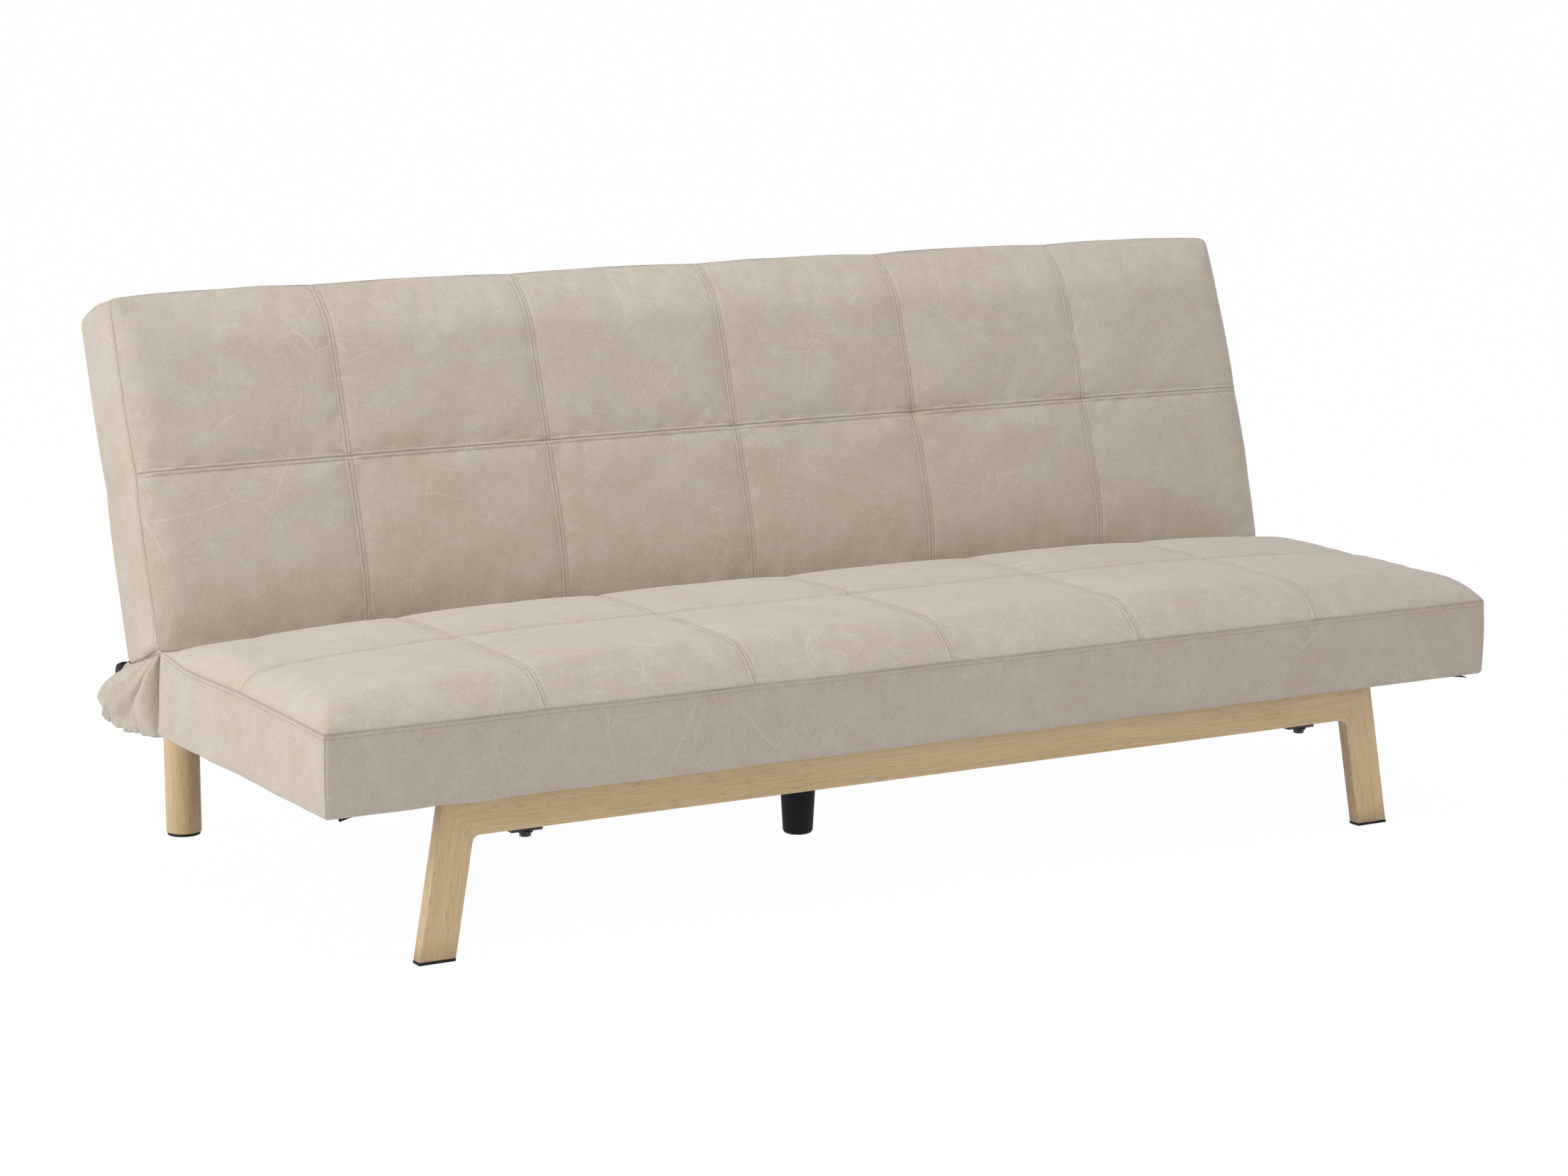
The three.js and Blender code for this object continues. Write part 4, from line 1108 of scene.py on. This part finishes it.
def stretched_sheet(name, low, high, level, sag, place, material, ear=0.0):
    """A sheet pulled flat over a frame, with a shallow sag that is deepest in the middle. An ear
    reaches further out at each of its front corners."""
    x, y = np.meshgrid(np.linspace(low[0], high[0], 90), np.linspace(low[1], high[1], 24))
    u = (x - low[0]) / (high[0] - low[0])
    v = (y - low[1]) / (high[1] - low[1])
    z = level - sag * swell(u, 2) ** 0.5 * swell(v, 2) ** 0.5 * (1 + 0.3 * waves(x, 0.3, 3))
    cornered = ear * np.exp(-np.minimum(u, 1 - u) / 0.008) * np.exp(-v / 0.05)
    grid = np.stack([x + np.sign(x) * 0.8 * cornered, y - cornered, z - 0.2 * cornered], axis=-1)
    sheet = cloth_piece(name, grid, grid[..., :2], material)
    sheet.data.transform(place)
    add_wall(sheet, 1.2 * MM, 1)
    return sheet


class SOFA_OT_linings(Operator):
    """Stretches the felt under the seat and the cloth behind the back"""

    bl_idname = "sofa.linings"
    bl_label = "Linings"

    def execute(self, context):
        padding = context.scene.sofa_padding
        low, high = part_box("seat_dust_cover")
        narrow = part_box("hinge_seat_plate_right")[0].x - 11 * MM
        felt = stretched_sheet(
            "felt_under_seat", (-narrow, low.y + FELT_INSET), (narrow, high.y - FELT_INSET),
            low.z + 0.2 * MM, -0.4 * MM, Matrix.Identity(4), material_of(felt_finish),
            ear=FELT_INSET + 1 * MM,
        )
        finish_piece(felt, "seat", "lining_cloth", "seat_dust_cover")
        wide = seat_half(padding) - REAR_CLOTH_INSET
        low, high = (-wide, REAR_CLOTH_INSET), (wide, padding.back_length - REAR_CLOTH_INSET)
        rear = stretched_sheet(
            "cloth_behind_back", low, high, -padding.back_thickness - 2.5 * MM, 1.6 * MM,
            back_place(padding), material_of(canvas_finish),
        )
        finish_piece(rear, "back", "sofa_cloth", "back_rear_panel")
        return {"FINISHED"}


# Rigid pieces. The end cap of each hinge's arm is given in the back's own frame.
HORN_LOW, HORN_HIGH = -44 * MM, 13 * MM
HORN_END, HORN_START = -212 * MM, -182 * MM
HORN_CORNER = 14 * MM
HORN_THICK = 10 * MM


def build_horn_cap(word, place):
    """The moulded cap on the end of a hinge's arm: a flat bar with two rounded corners."""
    bend = np.radians(np.linspace(0, 90, 9))
    near, far = HORN_CORNER * np.cos(bend), HORN_CORNER * np.sin(bend)
    end = HORN_END + HORN_CORNER
    outline = np.vstack([
        np.stack([HORN_HIGH - HORN_CORNER + near, end - far], axis=1),
        np.stack([HORN_LOW + HORN_CORNER - far, end - near], axis=1),
        [[HORN_LOW, HORN_START], [HORN_HIGH, HORN_START]],
    ])
    count = len(outline)
    middle = centre_of("hinge_back_plate_" + word)[0]
    points = np.vstack([
        np.column_stack([np.full(count, middle + way * HORN_THICK / 2), outline])
        for way in (-1, 1)
    ])
    faces = [np.arange(count)[::-1], np.arange(count) + count, *grid_faces(2, count, closed=True)]
    cap = new_mesh("horn_cap_" + word, points, faces, material_of(plastic_finish))
    solid = bmesh.new()
    solid.from_mesh(cap.data)
    bmesh.ops.recalc_face_normals(solid, faces=solid.faces)
    solid.to_mesh(cap.data)
    solid.free()
    cap.data.transform(place)
    break_edges(cap, 1.2 * MM)
    finish_piece(cap, "back", "black_plastic")


def dress_node(name, material, slot, radius=0.0):
    """Gives a node its finish. With a radius, a copy of the node takes its place: its vertices
    are merged, its flat faces made whole, and its edges broken."""
    node = frame["nodes"][name]
    mesh = node.data.copy() if radius else node.data
    mesh.materials.clear()
    mesh.materials.append(material)
    if not radius:
        return
    solid = bmesh.new()
    solid.from_mesh(mesh)
    bmesh.ops.remove_doubles(solid, verts=solid.verts, dist=0.01 * MM)
    bmesh.ops.dissolve_limit(solid, angle_limit=math.radians(1), verts=solid.verts,
                             edges=solid.edges)
    solid.to_mesh(mesh)
    solid.free()
    piece = new_object("finished_" + name, mesh)
    break_edges(piece, radius).harden_normals = True
    bodies = frame["record"]["behaviour"]["bodies"]
    finish_piece(piece, next(word for word in bodies if name in bodies[word]), slot, name)


def turned(name, profile, centre, material, around=96):
    """A solid of revolution about an upright axis, from a profile of radii and heights that
    starts and ends on the axis."""
    profile = np.array(profile)
    angle = np.linspace(0, 2 * np.pi, around, endpoint=False)
    inner = profile[1:-1]
    ring = np.stack([
        centre[0] + inner[:, :1] * np.cos(angle), centre[1] + inner[:, :1] * np.sin(angle),
        np.broadcast_to(inner[:, 1:], (len(inner), around)),
    ], axis=-1)
    ends = [[centre[0], centre[1], profile[at, 1]] for at in (0, -1)]
    points = np.concatenate([ring.reshape(-1, 3), ends])
    count = len(inner) * around
    first = np.arange(around)
    last = first + count - around
    caps = [
        *np.stack([np.roll(first, -1), first, np.full(around, count)], 1),
        *np.stack([last, np.roll(last, -1), np.full(around, count + 1)], 1),
    ]
    return new_mesh(name, points, [*grid_faces(len(inner), around, closed=True), *caps], material)


def rim_arc(radius, edge, height, way, steps=4):
    """A quarter circle between a turned piece's face and its side. Way is -1 at a foot, whose
    arc runs outwards and up, and 1 at a head, whose arc runs up and inwards."""
    angles = np.linspace(0, math.pi / 2, steps + 1)
    across, along = np.sin(angles), np.cos(angles)
    if way > 0:
        across, along = along, across
    rise = way * edge
    return np.column_stack([radius - edge + edge * across, height - rise + rise * along])


def rounded(radius, height, edge, foot=0.0):
    """The profile of a cylinder whose two rims are rounded."""
    flat, top = radius - edge - 0.4 * MM, foot + height
    return np.vstack([(0, foot), (flat, foot), rim_arc(radius, edge, foot, -1),
                      rim_arc(radius, edge, top, 1), (flat, top), (0, top)])


def centre_of(node):
    low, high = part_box(node)
    return (low + high) / 2


LEG_EDGE = 2 * MM
LEG_FILLET = 9 * MM
MITRE_LINE = 0.5 * MM
MITRE_SHADE = 0.55
MEMBER_GRAIN = 3.1


def build_leg_frame(material):
    """Rectangular tube that goes up one leg, along the rail and down the other. At each station
    of its path a rounded rectangle spans from the inner outline to the outer one. The outer
    outline has sharp corners, and the inner one a fillet. Its map runs along each member."""
    rail_low, rail_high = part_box("front_rail")
    leg_low, leg_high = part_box("front_leg_right")
    top, under, foot = rail_high.z, rail_low.z, leg_low.z
    splay = (leg_high.x - rail_high.x) / (top - foot)
    level = (top - under) * math.hypot(1, splay)
    outer_foot, outer_top = np.array([leg_high.x, foot]), np.array([rail_high.x, top])
    inner_top = np.array([rail_high.x + (top - under) * splay - level, under])
    up = (outer_top - outer_foot) / np.linalg.norm(outer_top - outer_foot)
    # A path is pairs of points, on the inner outline and on the outer one.
    feet = np.array([outer_foot - [level, 0], outer_foot])
    tops = np.array([inner_top, outer_top])
    # The fillet starts and ends at one distance from the inner corner.
    setback = LEG_FILLET / math.tan((math.pi - math.acos(up[0])) / 2)
    before, after = tops - up * setback, tops - [setback, 0]
    bent = np.linspace(0, 1, 13)[:, None]
    fillet = before[0] * (1 - bent) ** 2 + inner_top * 2 * bent * (1 - bent) + after[0] * bent**2
    corner = np.where(bent < 0.5, before[1] + (outer_top - before[1]) * bent * 2,
                      outer_top + (after[1] - outer_top) * (bent * 2 - 1))
    straight = np.linspace(0, 1, 7)[:-1, None, None]
    path = np.vstack([feet + (before - feet) * straight, np.stack([fillet, corner], axis=1)])
    # Stations close beside the mitre keep its line narrow.
    mitre = len(straight) + 6
    beside = [path[mitre] + (path[mitre + way] - path[mitre]) * (MITRE_LINE / setback)
              for way in (-1, 1)]
    path = np.insert(path, [mitre, mitre + 1], beside, axis=0)
    half = path * [-1, 1]
    rail_middle = np.linspace(0, 1, 14)[1:-1, None, None]
    path = np.vstack([half, half[-1] + (path[-1] - half[-1]) * rail_middle, path[::-1]])
    inner, outer = path[:, 0], path[:, 1]
    stations = len(path)
    mitres = [mitre + 1, stations - 2 - mitre]
    # The section: quarter circles at its four corners, each beside a line that keeps it flat.
    size = np.array([top - under, rail_high.y - rail_low.y])
    quarter = np.radians([-2.5, 0, 22.5, 45, 67.5, 90, 92.5])
    corners = []
    for index, at in enumerate(np.array([(1, 1), (0, 1), (0, 0), (1, 0)])):
        angle = quarter + index * math.pi / 2
        round_off = np.stack([np.cos(angle), np.sin(angle)], axis=1) - (2 * at - 1)
        corners.append(at * size + LEG_EDGE * round_off)
    section = np.concatenate(corners)
    across = section[:, 0] / size[0]
    plane = inner[:, None] + across[None, :, None] * (outer - inner)[:, None]
    y = np.broadcast_to(rail_low.y + section[:, 1], plane.shape[:2])
    points = np.stack([plane[..., 0], y, plane[..., 1]], axis=-1).reshape(-1, 3)
    around = len(section)
    quads = grid_faces(stations, around, closed=True)
    shade = np.zeros((stations, around))
    shade[mitres] = MITRE_SHADE
    # Each member's own direction gives the place along its grain.
    member = np.searchsorted(mitres, quads[:, 0] // around + 0.5)
    ways = np.array([[-up[0], up[1]], [1, 0], [up[0], up[1]]])
    run = np.sum(points[quads][..., [0, 2]] * ways[member][:, None], axis=-1)
    run += member[:, None] * MEMBER_GRAIN
    girth = distances(np.vstack([section, section[:1]]))
    column = quads[:, 0] % around
    turn = girth[np.stack([column, column + 1, column + 1, column], axis=1)]
    maps = [np.stack([run, turn], axis=-1).reshape(-1, 2)]
    ends = [np.arange(around)[::-1], np.arange(around) + (stations - 1) * around]
    maps += [points[end][:, [0, 1]] for end in ends]
    return new_mesh("oak_leg_frame", points, [*quads, *ends], material, maps, shade.reshape(-1))


class SOFA_OT_oak_frame(Operator):
    """Veneers the front rail and its two splayed legs, and caps their feet"""

    bl_idname = "sofa.oak_frame"
    bl_label = "Oak Leg Frame"

    def execute(self, context):
        veneered = build_leg_frame(material_of(oak_finish, "oak_foil", True))
        finish_piece(veneered, "seat", "oak_foil", "front_rail", "front_leg_left",
                     "front_leg_right")
        for word in SIDES:
            dress_node("front_foot_cap_" + word, material_of(plastic_finish), "black_plastic",
                       0.8 * MM)
        return {"FINISHED"}


class SOFA_OT_round_legs(Operator):
    """Turns the two round rear legs, their glides and the centre leg"""

    bl_idname = "sofa.round_legs"
    bl_label = "Round Legs"

    def execute(self, context):
        plastic = material_of(plastic_finish)
        for word in SIDES:
            low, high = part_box("rear_leg_" + word)
            centre = centre_of("rear_leg_" + word)
            radius = (high.x - low.x) / 2
            leg = turned("rear_oak_leg_" + word, rounded(radius, high.z - low.z, 1.2 * MM, low.z),
                         centre, material_of(oak_finish, "oak_rear_leg"))
            finish_piece(leg, "seat", "oak_wood", "rear_leg_" + word)
            glide = turned("rear_foot_" + word, rounded(radius - 1.6 * MM, low.z - 0.3 * MM,
                                                        1.4 * MM), centre, plastic)
            finish_piece(glide, "seat", "black_plastic", "rear_glide_" + word)
        low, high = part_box("centre_leg")
        top, foot, edge = (high.x - low.x) / 2, 21.5 * MM, 6 * MM
        profile = np.vstack([
            (0, 0), (foot - edge - 1 * MM, 0), rim_arc(foot, edge, 0, -1, 6),
            (top, high.z - 1 * MM), (top - 1 * MM, high.z), (0, high.z),
        ])
        leg = turned("centre_support", profile, centre_of("centre_leg"), plastic)
        finish_piece(leg, "seat", "black_plastic", "centre_leg")
        return {"FINISHED"}


class SOFA_OT_fittings(Operator):
    """Finishes the steel frames, arms, clamps, slats and hinges"""

    bl_idname = "sofa.fittings"
    bl_label = "Fittings"

    def execute(self, context):
        coated = material_of(coated_finish)
        zinc = material_of(zinc_finish)
        birch = material_of(birch_finish)
        kinds = (
            (("_slat_",), birch, "birch_wood", 0.0),
            (("front_clamp_plate", "hinge_back_plate", "hinge_seat_plate"), coated,
             "black_steel", 0.5 * MM),
            (("front_clamp_bolt",), coated, "dark_steel", 0.35 * MM),
            (("_frame_", "base_arm", "riser", "cross_tube", "centre_rail"), coated,
             "black_steel", 1.2 * MM),
            (("hinge_pawl", "hinge_ratchet", "rivet"), zinc, "zinc_steel", 0.0),
        )
        for name in frame["nodes"]:
            for words, *finish in kinds:
                if any(word in name for word in words):
                    dress_node(name, *finish)
                    break
        for word in SIDES:
            build_horn_cap(word, back_place(context.scene.sofa_padding))
        return {"FINISHED"}


SOFA_HEART = (0, 0, 0.35)
FLOOR_HALF = 40
FLOOR_DROP = 0.2 * MM


class SOFA_OT_stage(Operator):
    """Sets the floor, the lamps and the camera"""

    bl_idname = "sofa.stage"
    bl_label = "Stage"

    def execute(self, context):
        scene = context.scene
        stage = scene.sofa_stage
        x, y = np.meshgrid(*[np.linspace(-FLOOR_HALF, FLOOR_HALF, 3)] * 2)
        points = np.stack([x, y, np.full_like(x, -FLOOR_DROP)], axis=-1).reshape(-1, 3)
        new_mesh("studio_floor", points, grid_faces(3, 3),
                          stage_finish("pale_floor", (0.93, 0.93, 0.93), 0.99))
        scene.view_settings.view_transform = "Standard"
        studio = Finish("studio", "worlds")
        seen = [studio.node("LightPath", output=f"Is {ray} Ray") for ray in ("Camera", "Glossy")]
        shown = studio.node("Math", dict(enumerate(seen)), operation="MAXIMUM")
        soft = studio.node("Background", {"Color": (1, 0.972, 0.94, 1), "Strength": stage.ambient})
        white = studio.node("Background", {"Color": (1, 1, 1, 1)})
        mixed = studio.node("MixShader", {0: shown, 1: soft, 2: white})
        scene.world = studio.end(mixed, "OutputWorld")
        lamp("key_lamp", (-4.6, 0.1, 1.8), 2.6, stage.key, (1, 0.985, 0.97))
        lamp("top_lamp", (-0.5, -0.75, 3.6), 3.2, stage.top, (0.96, 0.98, 1))
        lamp("low_lamp", (-4.2, -0.7, 0.5), 1.8, stage.low, (1, 0.985, 0.97))
        lamp("fill_lamp", (3.6, -3.8, 1.5), 2.4, stage.fill, (1, 0.975, 0.945))
        camera = bpy.data.cameras.new("camera")
        camera.lens = stage.lens
        camera.sensor_width = 36
        camera.clip_end = 200
        round_to, above = math.radians(stage.azimuth), math.radians(stage.elevation)
        look = (math.sin(round_to) * math.cos(above), math.cos(round_to) * math.cos(above),
                -math.sin(above))
        scene.camera = aimed(
            "camera", camera, (-stage.camera_left, -stage.camera_back, stage.camera_height), look)
        return {"FINISHED"}


def aimed(name, data, place, look):
    """A lamp or camera that looks along a direction."""
    holder = new_object(name, data)
    holder.location = place
    holder.rotation_euler = Vector(look).to_track_quat("-Z", "Y").to_euler()
    return holder


def lamp(name, place, size, power, tint):
    """A square soft lamp that faces the sofa."""
    data = bpy.data.lights.new(name, "AREA")
    data.shape = "SQUARE"
    data.size = size
    data.energy = power
    data.color = tint
    aimed(name, data, place, Vector(SOFA_HEART) - Vector(place))


class SOFA_PT_panel(Panel):
    """Lists the sofa's sizes, colours and pieces"""

    bl_idname = "SOFA_PT_panel"
    bl_label = "Sofa Bed"
    bl_space_type = "VIEW_3D"
    bl_region_type = "UI"
    bl_category = "Sofa Bed"

    def draw(self, context):
        for group in GROUPS:
            box = self.layout.box()
            settings = getattr(context.scene, group)
            for name in settings.__annotations__:
                box.prop(settings, name)
        for operator in OPERATORS:
            self.layout.operator(operator.bl_idname)


GROUPS = {
    "sofa_padding": SofaPadding,
    "sofa_sewing": SofaSewing,
    "sofa_colours": SofaColours,
    "sofa_stage": SofaStage,
}
OPERATORS = (
    SOFA_OT_stage, SOFA_OT_seat_cover, SOFA_OT_back_cover, SOFA_OT_gathers, SOFA_OT_linings,
    SOFA_OT_oak_frame, SOFA_OT_round_legs, SOFA_OT_fittings,
)


def register():
    for name, group in GROUPS.items():
        bpy.utils.register_class(group)
        setattr(bpy.types.Scene, name, PointerProperty(type=group))
    for made in (*OPERATORS, SOFA_PT_panel):
        bpy.utils.register_class(made)


def unregister():
    for made in (SOFA_PT_panel, *reversed(OPERATORS)):
        bpy.utils.unregister_class(made)
    for name, group in reversed(list(GROUPS.items())):
        delattr(bpy.types.Scene, name)
        bpy.utils.unregister_class(group)


def main():
    register()
    for operator in OPERATORS:
        group, name = operator.bl_idname.split(".")
        getattr(getattr(bpy.ops, group), name)()


if __name__ == "__main__":
    main()
